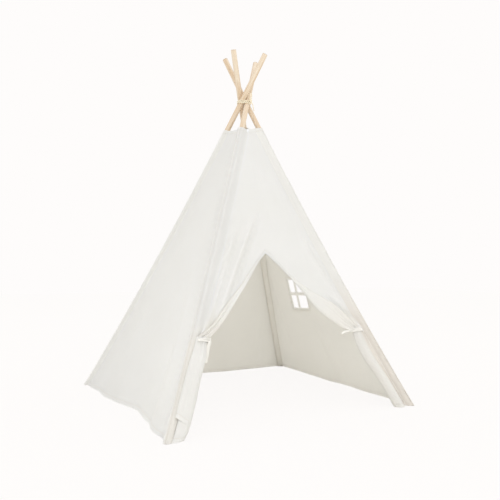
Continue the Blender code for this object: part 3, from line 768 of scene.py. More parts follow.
def shade_wall_half(obj, wall, half, turn):
    """Marks where a sleeve backs the wall; painted shade by the back poles and the ties."""
    leg = half_leg(wall, half)
    points = [v.co for v in obj.data.vertices]
    widest = (FALLING_SHARES if half == 0 else SMOOTH_SHARES)[0][0]
    reach = WING_START + (widest - WING_START) * WING_REACH[leg]
    covered = reach * SLEEVE_RADIUS - WING_INSET
    near_back = leg.startswith("back")
    backing, shades = [], []
    to_front = turn.inverted()
    for point in points:
        place = to_front @ point
        pole = front_poles(along_at(max(place.z, 0.002)))[half]
        off = abs(place.x - pole.x) - covered
        # Towards a back pole the seam's allowance lies behind the cloth.
        corner = ALLOWANCE_BACKING * (1 - smoothstep(off / SEAM_ALLOWANCE)) if near_back else 0.0
        backing.append(max(1 - smoothstep(off / BACKING_BLEND), corner))
        # Towards a back pole the cloth gets a painted shade.
        shades.append(CORNER_PAINTED_SHADE * (1 - smoothstep(off / CORNER_REACH) if near_back else 0.0))
    store(obj.data, "backing", "FLOAT", backing)
    if wall == "front":
        # Towards the tie the cloth lies doubled on the roll behind it, and gets a painted shade.
        tie = pole_point(LEGS[leg], along_at(TIE_HEIGHT)) + Vector((0.05 - 0.10 * half, 0.0, 0.01))
        shades = [DOUBLED_PAINTED_SHADE * smoothstep(1.25 - (p - tie).length / DOUBLED_REACH)
                  for p in points]
    paint_shading(obj, shades)


def gather(obj, wall, half):
    """The piece rides on its half's leg, with a mesh of its own."""
    turn_deg, _, _, split = WALLS[wall]
    axis, keep = GATHERS[split][half]
    turn = turned(turn_deg)
    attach(obj, half_leg(wall, half) + "_leg")
    tuple(turn @ Vector(axis))
    tuple(turn @ Vector(GATHER_ANCHORS[half]))
    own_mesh(obj)


# Window

def window_frame():
    """The window's centre, side, slope and outward directions, in the right wall's own frame."""
    x, z = WINDOW_CENTRE
    along = along_at(z)
    u = share_across(x, along)
    up = (wall_base(u, along + 0.05) - wall_base(u, along - 0.05)).normalized()
    side = (Vector((1.0, 0.0, 0.0)) + up * WINDOW_TILT).normalized()
    slope = (up * WINDOW_HEIGHT - side * WINDOW_LEAN) / WINDOW_HEIGHT
    return wall_point("right", u, along), side, slope, OUT


def cut_window(obj, near_window=0.20, under_border=0.7):
    """The window's opening, cut along its four edges. The border covers the hole's raw edge."""
    turn = turned(WALLS["right"][0])
    centre, side, slope, out = [turn @ v for v in window_frame()]
    half_w = WINDOW_WIDTH / 2 + WINDOW_BORDER * under_border
    half_h = WINDOW_HEIGHT / 2 + WINDOW_BORDER * under_border
    edit = start_edit(obj.data)
    for direction, half, across in ((side, half_w, slope), (slope, half_h, side)):
        for sign in (-1, 1):
            near = [f for f in edit.faces if (f.calc_center_median() - centre).length < near_window]
            verts = {v for f in near for v in f.verts}
            edges = {e for f in near for e in f.edges}
            bmesh.ops.bisect_plane(
                edit, geom=[*verts, *edges, *near], plane_co=centre + direction * (sign * half),
                plane_no=across.cross(out).normalized(), dist=1e-5,
            )
    upright = out.cross(side).normalized()
    gone = []
    for face in edit.faces:
        off = face.calc_center_median() - centre
        b = off.dot(upright) / slope.dot(upright)
        a = (off - slope * b).dot(side)
        if abs(a) < half_w and abs(b) < half_h and off.length < near_window:
            gone.append(face)
    delete_faces(edit, gone)
    end_edit(edit, obj.data)


def build_window_binding():
    """The binding sewn round the opening, and the cross that makes four panes."""
    turn = turned(WALLS["right"][0])
    centre, side, slope, _ = window_frame()
    half_w, half_h, b, m = WINDOW_WIDTH / 2, WINDOW_HEIGHT / 2, WINDOW_BORDER, MUNTIN / 2

    def marks(half, shift):
        low, high = shift - m, shift + m
        border = [half + b, half + b * 0.93, half + b / 2, half + 0.001]
        return [*[-x for x in border], -half, (low - half) / 2, low, low + m / 2, shift,
                high - m / 2, high, (high + half) / 2, half, *reversed(border)]

    rows, uvs, sewing = [], [], []
    stitched = b * BINDING_STITCH
    for t in marks(half_h, 0.0):
        row = []
        for s in marks(half_w, CROSS_OFFSET):
            flat = centre + side * s + slope * t
            along = along_at(flat.z)
            u = share_across(flat.x, along)
            base = wall_base(u, along)
            out = relief("right", u, along, base.x, base.z) + BINDING_OUT
            row.append(turn @ (base + OUT * out))
        rows.append(row)
        uvs.append([(s, t) for s in marks(half_w, CROSS_OFFSET)])
        sewing.append([(abs(t) - half_h - stitched, abs(s) - half_w - stitched)
                       for s, t in uvs[-1]])
    obj = sheet_object("window_binding", rows, uvs, sewing, trim_canvas, BINDING_CLOTH)
    edit = start_edit(obj.data)
    uv_layer = edit.loops.layers.uv["cloth"]
    gone = []
    for face in edit.faces:
        s, t = [sum(loop[uv_layer].uv[k] for loop in face.loops) / 4 for k in (0, 1)]
        in_hole = abs(s) < half_w and abs(t) < half_h
        if in_hole and abs(s - CROSS_OFFSET) > m and abs(t) > m:
            gone.append(face)
    delete_faces(edit, gone)
    end_edit(edit, obj.data)
    return obj


# Pole sleeves

SLEEVE_RADIUS = 0.0146
SLEEVE_CLOTH = 0.0010
# The sleeve's skin beside a wall: along the wall and out from it, in shares of its radius. Towards
# the wall before it the outer skin runs on smoothly; towards the wall after it, it falls away.
SMOOTH_SHARES = [
    (2.6, -0.03), (2.4, 0.05), (2.1, 0.18), (1.8, 0.35), (1.45, 0.55), (1.12, 0.72), (0.78, 0.87),
    (0.40, 0.97), (0.12, 1.0),
]
FALLING_SHARES = [
    (3.1, -0.03), (2.8, 0.03), (2.4, 0.09), (2.0, 0.18), (1.6, 0.31), (1.2, 0.50), (0.80, 0.73),
    (0.40, 0.92), (0.0, 1.0),
]
# Below the ties the door's sides have no wall, and the skin goes close round the pole.
CLOSE_SHARES = [
    (1.42, -0.06), (1.38, 0.06), (1.30, 0.20), (1.16, 0.37), (1.00, 0.54), (0.80, 0.70),
    (0.56, 0.84), (0.28, 0.95), (0.0, 1.0),
]
# The inner skin starts in the wall and leaves it close to the pole.
INNER_SHARES = [
    (1.56, -0.01), (1.47, -0.04), (1.37, -0.11), (1.26, -0.21), (1.14, -0.33), (1.02, -0.44),
    (0.90, -0.55), (0.80, -0.64),
]
INNER_MIDDLE = 0.99
# The seam that stands up at the sleeve's left: share of the way round to the next wall, and height
FIN_SHARES = [
    (-0.03, 1.02), (0.00, 1.12), (0.03, 1.22), (0.07, 1.20), (0.105, 1.05), (0.15, 0.97),
    (0.30, 0.95), (0.48, 0.95), (0.66, 0.96), (0.83, 0.98),
]
FIN_POINTS = 3                 # points from the fin's foot to its crest
WING_START = 0.8               # where the sewn wings begin, in shares of the radius
WING_POINTS = 16
SLEEVE_STEP = 0.012
SLEEVE_MARGIN = 0.02           # the even steps end this far from the sleeve's ends
SLEEVE_TOP_MARKS = (0.0185, 0.017, 0.008, 0.0)
FIN_STITCH = 0.009             # from the fin's crest to its row of stitches
INNER_STITCH = 0.0045
FOOT_CUT = 0.08                # along the pole, where the level cut of the foot has faded out
RUFFLED_FOOT = 0.10            # and the ruffle at the foot
WALL_SIDE, WALL_SIDE_BLEND = 0.325, 0.07    # height where the door's sides become walls
SLEEVE_RIPPLE, SLEEVE_RUFFLE, FIN_WAVE = (16, 1.7, 0.0010), (9, 2.3, 0.006), (22, 1, 0.0008)
# Painted shade on the front sleeves, warmed by the pine, where the pole stops light from behind:
# in red, green and blue above the ties, below them, and the height over which the one becomes
# the other
SLEEVE_PAINTED_SHADE = {
    "front_left": (Vector((0.055, 0.050, 0.040)), Vector((0.030, 0.045, 0.070)), 0.10),
    "front_right": (Vector((0.000, 0.000, 0.000)), Vector((0.050, 0.090, 0.125)), 0.30),
}
SLEEVE_SHADE_FROM = 0.30            # the height where the upper value begins to take over
# The fin's crest gets a painted highlight: a share of the sleeve's painted shade, reversed.
CREST_HIGHLIGHT_SHARE = -0.25            # of the fin's crest, which is lighter
TO_WALL = {
    "front_left": ("left", "front"), "front_right": ("front", "right"),
    "back_right": ("right", "back"), "back_left": ("back", "left"),
}


def sleeve_stations(end):
    middle = end - 2 * SLEEVE_MARGIN
    count = round(middle / SLEEVE_STEP)
    evenly = [SLEEVE_MARGIN + middle * i / count for i in range(count + 1)]
    return [*[m * 0.6 for m in HEM_MARKS], *evenly, *[end - m for m in SLEEVE_TOP_MARKS]]


def sleeve_loop(leg, along):
    """One ring of the sleeve's skin, and the number of its last outer point."""
    azimuth, radius, seed = LEGS[leg], SLEEVE_RADIUS, LEGS[leg] / 10
    centre = pole_point(azimuth, along)
    tangent = pole_direction(azimuth, max(along, 0.006))
    cut = 1 - smoothstep(along / FOOT_CUT)
    low = max(0.0, 1 - along / RUFFLED_FOOT) ** 2
    frames = []
    for other, sign in ((azimuth - 90, -1), (azimuth + 90, 1)):
        side = pole_point(other, along) - centre
        side = (side - tangent * side.dot(tangent)).normalized()
        frames.append((side, (side.cross(tangent) * sign).normalized()))
    before, after = frames

    def level(point):
        """The foot is cut level with the floor."""
        return point - tangent * ((point - centre).z / tangent.z) * cut

    def inner_skin(frame, shares, k):
        side, out = frame
        points = []
        for i, (x, y) in enumerate(shares):
            at = k + i * 0.3
            ruffle = uneven(SLEEVE_RUFFLE, along, at, seed + 4) * low
            stand = uneven(SLEEVE_RIPPLE, along, at, seed) + ruffle
            grow = 1 + stand / radius if abs(y) > 0.3 else 1.0
            points.append(level(centre + side * (x * radius * grow) + out * (y * radius * grow)))
        return points

    def beside(index, far_shares, k):
        """The skin along a wall, which follows the wall's own surface."""
        wall = TO_WALL[leg][index]
        walled = wall != "front"
        open_side = 1.0 if walled else smoothstep((centre.z - WALL_SIDE) / WALL_SIDE_BLEND)
        low_pole, high_pole = front_poles(along)
        across = (high_pole - low_pole).normalized()
        wide = (high_pole - low_pole).length
        far, close = [flat_curve(shares, WING_POINTS) for shares in (far_shares, CLOSE_SHARES)]
        points = []
        for i in range(WING_POINTS):
            place = close[i].lerp(far[i], open_side) * radius
            wing = max(place.x - WING_START * radius, 0.0)
            place.x = min(place.x, WING_START * radius) + wing * WING_REACH[leg]
            from_low = place.x if index == 1 else wide - place.x
            u = (from_low - WALL_EDGE) / (wide - 2 * WALL_EDGE)
            base = low_pole + across * from_low
            stand = relief(wall, u, along, base.x, base.z) * open_side if 0 < u < 1 else 0.0
            ripple = uneven(SLEEVE_RIPPLE, along, k + i * 0.15, seed)
            ripple *= min(1.0, max(place.y, 0.0) / radius * 2)
            points.append(level(turned(WALLS[wall][0]) @ (base + OUT * (stand + place.y + ripple))))
        return points

    loop = beside(0, SMOOTH_SHARES, 0.0)
    turn_axis, turn_angle = before[1].cross(after[1]), before[1].angle(after[1])
    for i, (share, size) in enumerate(FIN_SHARES):
        out = (Matrix.Rotation(turn_angle * share, 3, turn_axis) @ before[1]).normalized()
        wave = uneven(FIN_WAVE, along, 2.4, seed) if 1.05 < size else 0.0
        ruffle = uneven(SLEEVE_RUFFLE, along, 2.4 + i * 0.2, seed + 4) * low
        loop.append(level(centre + out * (radius * size + wave + ruffle)))
    loop += reversed(beside(1, FALLING_SHARES, 3.9))
    outer_last = len(loop) - 1
    loop += inner_skin(after, INNER_SHARES, 6.5)
    loop.append(level(centre + (before[0] + after[0]).normalized() * radius * INNER_MIDDLE))
    loop += inner_skin(before, INNER_SHARES[::-1], 8.6)
    if along == 0.0:
        loop = [Vector((p.x, p.y, 0.0)) for p in loop]
    return loop, outer_last


def sleeve_painted_shading(leg, rows, outer_last):
    """Painted shade over the pole, warmed by the pine, and a painted highlight on the crest."""
    high, low, blend = SLEEVE_PAINTED_SHADE.get(leg, (Vector(), Vector(), 1.0))
    amounts = []
    for loop in rows:
        for i, p in enumerate(loop):
            part = smoothstep((outer_last - i) / 5) if i <= outer_last else 0.0
            if leg == "front_left":
                # Only right of the fin
                part *= smoothstep((i - WING_POINTS - FIN_POINTS - 0.5) / 2)
                if WING_POINTS < i <= WING_POINTS + FIN_POINTS:
                    # The fin's crest is painted lighter: painted highlight.
                    part = CREST_HIGHLIGHT_SHARE
            amounts.append(low.lerp(high, smoothstep((p.z - SLEEVE_SHADE_FROM) / blend)) * part)
    return amounts


def build_sleeve(leg):
    """The canvas pocket round a pole: it wraps the pole outside and inside, and is sewn flat on
    both walls. It is closed at the floor and open at the top."""
    end = COVER_REACH[leg]
    rows, uvs, sewing = [], [], []
    for along in sleeve_stations(end):
        loop, outer_last = sleeve_loop(leg, along)
        arc = running_lengths(loop)
        fin, inner_first = arc[WING_POINTS + FIN_POINTS], arc[outer_last + 1]
        offs = [a - fin - FIN_STITCH if i <= outer_last
                else min(a - inner_first, arc[-1] - a) - INNER_STITCH for i, a in enumerate(arc)]
        rows.append(loop)
        uvs.append([(a, along) for a in arc])
        sewing.append([(end - along - STITCH_INSET, off) for off in offs])
    obj = sheet_object(leg + "_pole_sleeve", rows, uvs, sewing, layered_canvas, SLEEVE_CLOTH,
                       closed=True, bottom=True)
    obj.modifiers["thickness"].offset = -1.0
    obj.data.materials.append(sleeve_lining_painted_light)
    paint_shading(obj, sleeve_painted_shading(leg, rows, outer_last))
    # The pole behind the inner skin stops the light.
    columns = len(rows[0])
    backing = [1.0 if i % columns > outer_last else 0.0 for i in range(len(obj.data.vertices))]
    store(obj.data, "backing", "FLOAT", backing)
    # The outer and the inner skin are two strips, joined only across the foot.
    edit = start_edit(obj.data)
    sides = list(edit.faces)[:columns * (len(rows) - 1)]
    for i, face in enumerate(sides):
        if i % columns > outer_last:
            face.material_index = 1
    between = [face for i, face in enumerate(sides) if i % columns in (outer_last, columns - 1)]
    delete_faces(edit, between, "FACES_ONLY")
    delete_faces(edit, [e for e in edit.edges if not e.link_faces], "EDGES")
    end_edit(edit, obj.data)
    return obj


# Poles

def select_only(*objects):
    """Selects these objects alone. The first becomes the active one."""
    bpy.ops.object.select_all(action="DESELECT")
    for obj in objects:
        obj.select_set(True)
    if objects:
        bpy.context.view_layer.objects.active = objects[0]


def select_end(obj, centre, along, reach):
    """Selects the faces near a place that face along the pole."""
    edit = bmesh.from_edit_mesh(obj.data)
    for face in edit.faces:
        near = (face.calc_center_median() - centre).length < reach
        face.select_set(near and abs(face.normal.dot(along)) > 0.9)
    edit.select_flush_mode()
    bmesh.update_edit_mesh(obj.data)


def settle(obj):
    """Blender's edit tools leave faces in an order that changes from run to run. This puts them in
    one order, each from its lowest corner."""
    old = obj.data
    faces = []
    for face in old.polygons:
        corners = list(face.vertices)
        first = corners.index(min(corners))
        faces.append(corners[first:] + corners[:first])
    mesh = bpy.data.meshes.new("settled")
    mesh.from_pydata([tuple(v.co) for v in old.vertices], [], sorted(faces))
    obj.data = mesh
    bpy.data.meshes.remove(old)
    mesh.name = obj.name


POLE_SIDES = 36
TIP_INSET = 0.0004
TIP_EASE, TIP_EASE_STEPS = 0.0026, 4
POLE_SMOOTH_DEG, CORD_SMOOTH_DEG = 40, 50


def model_pole_top(leg, steps=10, end_reach=0.004):
    """The upper pole section: a turned dowel, extruded along its slight bow, with an eased tip."""
    azimuth = LEGS[leg]
    start = POLE_START + POLE_LENGTH * 2 / 3
    points = [pole_point(azimuth, start + (POLE_END - start) * i / steps) for i in range(steps + 1)]
    first = points[1] - points[0]
    along, tip = first.normalized(), points[-1]
    select_only()
    bpy.ops.mesh.primitive_cylinder_add(
        vertices=POLE_SIDES, radius=POLE_RADIUS, depth=first.length,
        location=(points[0] + points[1]) / 2, rotation=first.to_track_quat("Z", "Y").to_euler(),
    )
    obj = bpy.context.active_object
    obj.name = leg + "_pole_top"
    bpy.ops.object.transform_apply(location=True, rotation=True, scale=True)
    bpy.ops.object.mode_set(mode="EDIT")
    bpy.ops.mesh.select_mode(type="FACE")
    for low, high in zip(points[1:], points[2:]):
        select_end(obj, low, along, end_reach)
        bpy.ops.mesh.extrude_region_move(TRANSFORM_OT_translate={"value": tuple(high - low)})
    select_end(obj, tip, along, end_reach)
    bpy.ops.mesh.inset(thickness=TIP_INSET)
    select_end(obj, tip, along, POLE_RADIUS * 1.02)
    bpy.ops.mesh.region_to_loop()
    bpy.ops.mesh.bevel(offset=TIP_EASE, segments=TIP_EASE_STEPS, affect="EDGES")
    bpy.ops.object.mode_set(mode="OBJECT")
    settle(obj)
    bpy.ops.object.shade_smooth_by_angle(angle=math.radians(POLE_SMOOTH_DEG))
    obj.data.materials.clear()
    obj.data.materials.append(pine_pole)
    # The grain runs along each pole, and no two poles are alike.
    inverse = turned(-azimuth)
    upright = Matrix.Rotation(LEAN, 3, "Y")
    shift = Vector((azimuth * 0.013, azimuth * 0.007, azimuth * 0.05))
    grain = [upright @ (inverse @ v.co) + shift for v in obj.data.vertices]
    store(obj.data, "grain", "FLOAT_VECTOR", grain)
    return obj


# Gathered door flaps, which hang from the ties

FLAP_TOP = 0.330
# Two heights on each flap's leg. main() works out the points there and does not use them.
FLAP_BLEND = (0.315, 0.17)
FLAP_COLUMNS = 66
FLAP_ROWS = 46
FLAP_STRETCH = 10
FLAP_HEM, FLAP_SIDE_HEM = 0.016, 0.012
# width: the strip's width at each height. shares: the section of the gathered cloth, across from
# the pole in shares of that width, and out from the front's plane in metres
FLAPS = {
    "left": {
        "leg": "front_left", "sign": 1, "seed": 31.0,
        "width": [
            (0.0, 0.058), (0.03, 0.067), (0.12, 0.069), (0.19, 0.068), (0.25, 0.068),
            (0.28, 0.064), (0.305, 0.058), (0.33, 0.056),
        ],
        "shares": [
            (0.00, 0.0168), (0.05, 0.0190), (0.18, 0.0198), (0.30, 0.0190), (0.44, 0.0188),
            (0.58, 0.0182), (0.74, 0.0156), (0.88, 0.0110), (0.97, 0.0050), (1.00, -0.0020),
            (0.95, -0.0075), (0.82, -0.0105), (0.64, -0.0120), (0.46, -0.0110), (0.32, -0.0060),
            (0.24, 0.0030), (0.21, 0.0100), (0.27, 0.0138), (0.42, 0.0140), (0.62, 0.0135),
            (0.80, 0.0112), (0.92, 0.0070), (0.955, 0.0010), (0.86, -0.0055), (0.66, -0.0080),
        ],
    },
    "right": {
        "leg": "front_right", "sign": -1, "seed": 43.0,
        "width": [
            (0.0, 0.083), (0.083, 0.086), (0.143, 0.092), (0.205, 0.098), (0.26, 0.094),
            (0.30, 0.083), (0.33, 0.076),
        ],
        "shares": [
            (0.145, 0.0085), (0.19, 0.0036), (0.26, -0.0010), (0.34, -0.0020), (0.41, 0.0000),
            (0.47, 0.0050), (0.52, 0.0105), (0.58, 0.0145), (0.66, 0.0150), (0.74, 0.0158),
            (0.83, 0.0145), (0.91, 0.0105), (0.97, 0.0050), (1.00, -0.0015), (0.96, -0.0080),
            (0.86, -0.0120), (0.72, -0.0130), (0.58, -0.0115), (0.50, -0.0060), (0.56, 0.0005),
            (0.68, 0.0050), (0.80, 0.0050), (0.88, 0.0010), (0.82, -0.0040), (0.70, -0.0055),
        ],
    },
}
# The left flap's outer ply has its corner turned up beside the sleeve: share of the columns, height
LEFT_CORNER = [(0.0, 0.072), (0.15, 0.054), (0.26, 0.040), (0.29, 0.022), (0.31, 0.0)]
FLAP_CRUMPLE, FLAP_SWAY = (2.6, 8, 0.0034), (0, 5, 0.004)
# Pleats: how close they stand, and how deep they are hanging freely and pinched by the tie
FLAP_PLEATS, FREE_PLEAT, PINCHED_PLEAT = 19, 0.0007, 0.0012
PINCH_START, PINCH_BLEND = 0.20, 0.11
# Painted shade on the right flap: what it loses in its gutter beside the sleeve, and in front of it
GUTTER_PAINTED_SHADE, FLAP_PAINTED_SHADE = Vector((0.045, 0.085, 0.120)), Vector((0.032, 0.042, 0.055))


def mirrored(*grids):
    return [[list(reversed(row)) for row in grid] for grid in grids]


def flap_point(side, place, c, start_height, along):
    """A point of the gathered cloth, which is pinched towards the tie."""
    facts = FLAPS[side]
    azimuth, sign, seed = LEGS[facts["leg"]], facts["sign"], facts["seed"]
    centre = pole_point(azimuth, along)
    tangent = pole_direction(azimuth, max(along, 0.006))
    pinch = smoothstep((centre.z - PINCH_START) / PINCH_BLEND)
    a, o = place.x * value_at(facts["width"], centre.z), place.y / FLAP_STRETCH
    depth = FREE_PLEAT + PINCHED_PLEAT * pinch
    pleat = math.sin(place.x * FLAP_PLEATS + seed + centre.z * 3) * depth
    crumple = uneven(FLAP_CRUMPLE, place.x, centre.z, seed + c * 0.02)
    o = o * (1 - 0.30 * pinch * smoothstep(place.x / 0.45))
    o += (pleat + crumple * (1 - 0.6 * pinch)) * min(1.0, c / 9)
    a += uneven(FLAP_SWAY, 0.0, centre.z, seed + 9) * smoothstep(place.x / 0.5) * (1 - pinch)
    if side == "left":
        a += 0.007 * pinch * (1 - place.x)
        o -= 0.003 * pinch * (1 - smoothstep(place.x / 0.35))
    point = centre + Vector((sign, 0.0, 0.0)) * a + OUT * o
    if start_height < 0.003:
        point -= tangent * ((point - centre).z / tangent.z) * (1 - smoothstep(along / 0.05))
    point.z = max(point.z, FLOOR_GAP)
    return point


def build_flap(side):
    outline = flat_curve(FLAPS[side]["shares"], FLAP_COLUMNS + 1, FLAP_STRETCH)
    top_along = along_at(FLAP_TOP)
    grid = []
    for c, place in enumerate(outline):
        start_height = value_at(LEFT_CORNER, c / FLAP_COLUMNS) if side == "left" else 0.0
        start = along_at(start_height)
        steps = [start + (top_along - start) * (r / FLAP_ROWS) for r in range(FLAP_ROWS + 1)]
        grid.append([flap_point(side, place, c, start_height, along) for along in steps])
    rows = [list(row) for row in zip(*grid)]
    arc = running_lengths(rows[len(rows) // 2])
    uvs = [[(a, p.z / WALL_RISE) for a, p in zip(arc, row)] for row in rows]
    sewing = [[((p - column[0]).length - FLAP_HEM, arc[-1] - a - FLAP_SIDE_HEM)
               for p, column, a in zip(row, grid, arc)] for row in rows]
    if side == "right":
        rows, uvs, sewing = mirrored(rows, uvs, sewing)
    obj = sheet_object(side + "_door_flap_gathered", rows, uvs, sewing, layered_canvas)
    if side == "right":
        shades = [GUTTER_PAINTED_SHADE.lerp(FLAP_PAINTED_SHADE, smoothstep((p.x - 0.38) / 0.16))
                  for p in reversed(outline)]
        paint_shading(obj, shades * len(rows))
    return obj


# Rolled cloth along the door's edges

# Across from the door's edge to the fold line, in shares, and out from the cloth in metres
ROLL_SHARES = [
    (0.30, -0.0030), (0.16, -0.0042), (0.03, -0.0036), (-0.05, -0.0006), (-0.045, 0.0034),
    (0.03, 0.0066), (0.16, 0.0082), (0.32, 0.0072), (0.48, 0.0060), (0.64, 0.0070), (0.80, 0.0078),
    (0.91, 0.0074), (0.985, 0.0062), (1.00, 0.0044), (0.96, 0.0030), (0.86, 0.0018),
]
ROLL_COLUMNS = 34
ROLL_ROWS = 56
ROLL_STRETCH = 40
ROLL_HEM = 0.009
# The roll's cloth stays out from these, behind the wall and in front of it.
ROLL_BEHIND, ROLL_BEFORE = -0.0048, 0.0009
ROLL_SEEDS = {"left": 51.0, "right": 63.0}
ROLL_GROWTH = [(0.0, 0.35), (0.12, 0.6), (0.5, 1.0), (0.85, 1.3), (1.0, 1.0)]
ROLL_CRUMPLE = (2.6, 9, 0.0030)
ROLL_PLEATS, ROLL_PLEAT = 15, 0.0030
ROLL_FULL_WIDTH = 0.030        # a narrower roll is flatter
ROLL_PAINTED_SHADE = Vector((0.010, 0.025, 0.045))


def roll_point(a, b, place, t, seed):
    """A point of the roll, between its edge a and its fold line b, at a share of its length."""
    w, h = place.x, place.y / ROLL_STRETCH
    grow = value_at(ROLL_GROWTH, t)
    pleat = math.sin(w * ROLL_PLEATS + t * 2.5 + seed) * ROLL_PLEAT * smoothstep((t - 0.45) / 0.5)
    free = 1 if 0.05 < w < 0.96 and h > 0.003 else 0.25
    lift = (pleat + uneven(ROLL_CRUMPLE, w, t, seed)) * free
    full = min(1.0, (b - a).length / ROLL_FULL_WIDTH)
    out = h * grow * full + max(lift, -h * 0.5 * grow)
    out = max(out, ROLL_BEHIND if h < 0 else ROLL_BEFORE)
    return front_place(a.x + (b.x - a.x) * w, a.y + (b.y - a.y) * w, out)


def build_roll(side):
    edge = flat_curve(DOOR_EDGES[side], ROLL_ROWS + 1)
    fold = flat_curve(DOOR_FOLD_LINES[side], ROLL_ROWS + 1)
    outline = flat_curve(ROLL_SHARES, ROLL_COLUMNS + 1, ROLL_STRETCH)
    rows = [[roll_point(a, b, place, r / ROLL_ROWS, ROLL_SEEDS[side]) for place in outline]
            for r, (a, b) in enumerate(zip(edge, fold))]
    arc = running_lengths(rows[2 * len(rows) // 3])
    uvs = [[(x, length) for x in arc] for length in running_lengths(edge)]
    sewing = [[(1.0, arc[-1] - x - ROLL_HEM) for x in arc] for _ in rows]
    if side == "left":
        rows, uvs, sewing = mirrored(rows, uvs, sewing)
    obj = sheet_object(side + "_door_edge_roll", rows[::-1], uvs[::-1], sewing[::-1],
                       layered_canvas)
    # Painted shade, darker and yellower towards the tie.
    paint_shading(obj, [ROLL_PAINTED_SHADE * smoothstep((0.55 - r / ROLL_ROWS) / 0.45)
                       for r in range(ROLL_ROWS + 1) for _ in outline])
    return obj


# Ties, rope and knots: swept along a curve

def heading(points, i, closed):
    """The direction of a line of points at one of them."""
    ahead = points[(i + 1) % len(points)] if closed else points[min(i + 1, len(points) - 1)]
    behind = points[i - 1] if closed or i > 0 else points[0]
    return (ahead - behind).normalized()


def swept_object(name, points, section, material, up, closed=False):
    """A closed section swept along points. section(i) gives its points across and up; up(i) is the
    direction that the section's second number follows."""
    rows = []
    for i, p in enumerate(points):
        tangent = heading(points, i, closed)
        side = tangent.cross(up(i)).normalized()
        rise = side.cross(tangent)
        rows.append([p + side * a + rise * b for a, b in section(i)])
    arcs = [running_lengths(ring) for ring in rows]
    lengths = running_lengths(points)
    count = len(rows[0])
    faces = []
    for r in range(len(rows) if closed else len(rows) - 1):
        s = (r + 1) % len(rows)
        for c in range(count):
            d = (c + 1) % count
            faces.append((r * count + c, s * count + c, s * count + d, r * count + d))
    if not closed:
        faces.append(tuple(range(count)))
        faces.append(tuple((len(rows) - 1) * count + c for c in reversed(range(count))))
    uvs = [(a, length) for ring, length in zip(arcs, lengths) for a in ring]
    # No stitch row is near.
    mesh = grid_mesh(name, rows, faces, uvs, [(1.0, 1.0, 0.0)] * len(uvs))
    edit = start_edit(mesh)
    bmesh.ops.recalc_face_normals(edit, faces=edit.faces)
    edit.to_mesh(mesh)
    edit.free()
    mesh.shade_smooth()
    mesh.materials.append(material)
    obj = new_object(name, mesh)
    select_only(obj)
    bpy.ops.object.shade_smooth_by_angle(angle=math.radians(CORD_SMOOTH_DEG))
    return obj


def flat_section(width, thickness, fold=0.0):
    """A flat tape's section with rounded edges. fold lifts its middle."""
    w, t = width / 2, thickness / 2
    half = [(-w * 0.96, t * 0.8, 0.0), (-w * 0.6, t, fold * 0.5), (0.0, t, fold),
            (w * 0.6, t, fold * 0.5), (w * 0.96, t * 0.8, 0.0)]
    return [(-w, 0.0), *[(x, y + lift) for x, y, lift in half], (w, 0.0),
            *[(x, -y + lift) for x, y, lift in reversed(half)]]


def join(objects, name):
    select_only(*objects)
    bpy.ops.object.join()
    objects[0].name = name
    objects[0].data.name = name
    return objects[0]


def trefoil(knot, count, x_way, y_way, z_way):
    """An overhand knot, drawn tight."""
    points = []
    for i in range(count):
        t = 2 * math.pi * i / count
        x, y = math.sin(t) + 2 * math.sin(2 * t), math.cos(t) - 2 * math.cos(2 * t)
        points.append(knot + x_way * x + y_way * y + z_way * -math.sin(3 * t))
    return points


def offsets(start, ways, places):
    """Points at distances from a start along three directions."""
    return [start + ways[0] * a + ways[1] * b + ways[2] * c for a, b, c in places]


STRAND_POINTS = 18


def strand_lobe(k, s, pitch):
    """1 on a strand's back, -1 in a hollow: at a point round the cord and a distance along it."""
    return math.cos(3 * (2 * math.pi * k / STRAND_POINTS - 2 * math.pi * s / pitch))


def cord_object(name, points, radius, pitch, closed=False):
    """Twisted cord along points, with the hollows between its strands marked for painted shade."""
    lengths = running_lengths(points)
    if closed:
        total = lengths[-1] + (points[0] - points[-1]).length
        pitch = total / round(total / pitch)
    directions = []
    up = Vector((0.13, 0.21, 0.97)).normalized()
    for i in range(len(points)):
        tangent = heading(points, i, closed)
        up = (up - tangent * up.dot(tangent)).normalized()
        directions.append(up)

    def section(i):
        ring = []
        for k in range(STRAND_POINTS):
            angle = 2 * math.pi * k / STRAND_POINTS
            size = radius * (0.88 + 0.12 * strand_lobe(k, lengths[i], pitch))
            ring.append((size * math.cos(angle), size * math.sin(angle)))
        return ring

    obj = swept_object(name, points, section, cord_material, lambda i: directions[i], closed)
    store(obj.data, "hollow", "FLOAT", [max(0.0, -strand_lobe(k, s, pitch)) * 0.8
                                        for s in lengths for k in range(STRAND_POINTS)])
    return obj


def crown_hull_point(angle, height):
    """The rope's centre where it bears on the poles. It is clear of them both open and folded."""
    out = Vector((math.cos(angle), math.sin(angle), 0.0))
    direction = pole_direction(0.0, along_at(height), 0.02)
    open_lean = math.atan2(-direction.x, direction.z)
    best = None
    for azimuth in LEGS.values():
        radial = turned(azimuth) @ Vector((1.0, 0.0, 0.0))
        beside = turned(azimuth) @ Vector((0.0, 1.0, 0.0))
        for lean in (open_lean, open_lean - math.radians(FOLD_DEG)):
            centre = radial * (HINGE.x + (HINGE.z - height) * math.tan(lean)) + beside * HINGE.y
            slant = POLE_RADIUS / math.cos(lean)
            a = slant * out.dot(radial)
            b = POLE_RADIUS * out.dot(beside)
            size = math.hypot(a, b)
            reach = centre.dot(out) + size
            if best is None or reach > best[0]:
                best = (reach, centre + (radial * slant * a + beside * POLE_RADIUS * b) / size)
    point = best[1] + out * (ROPE_RADIUS + ROPE_CLEARANCE)
    point.z = height
    return point


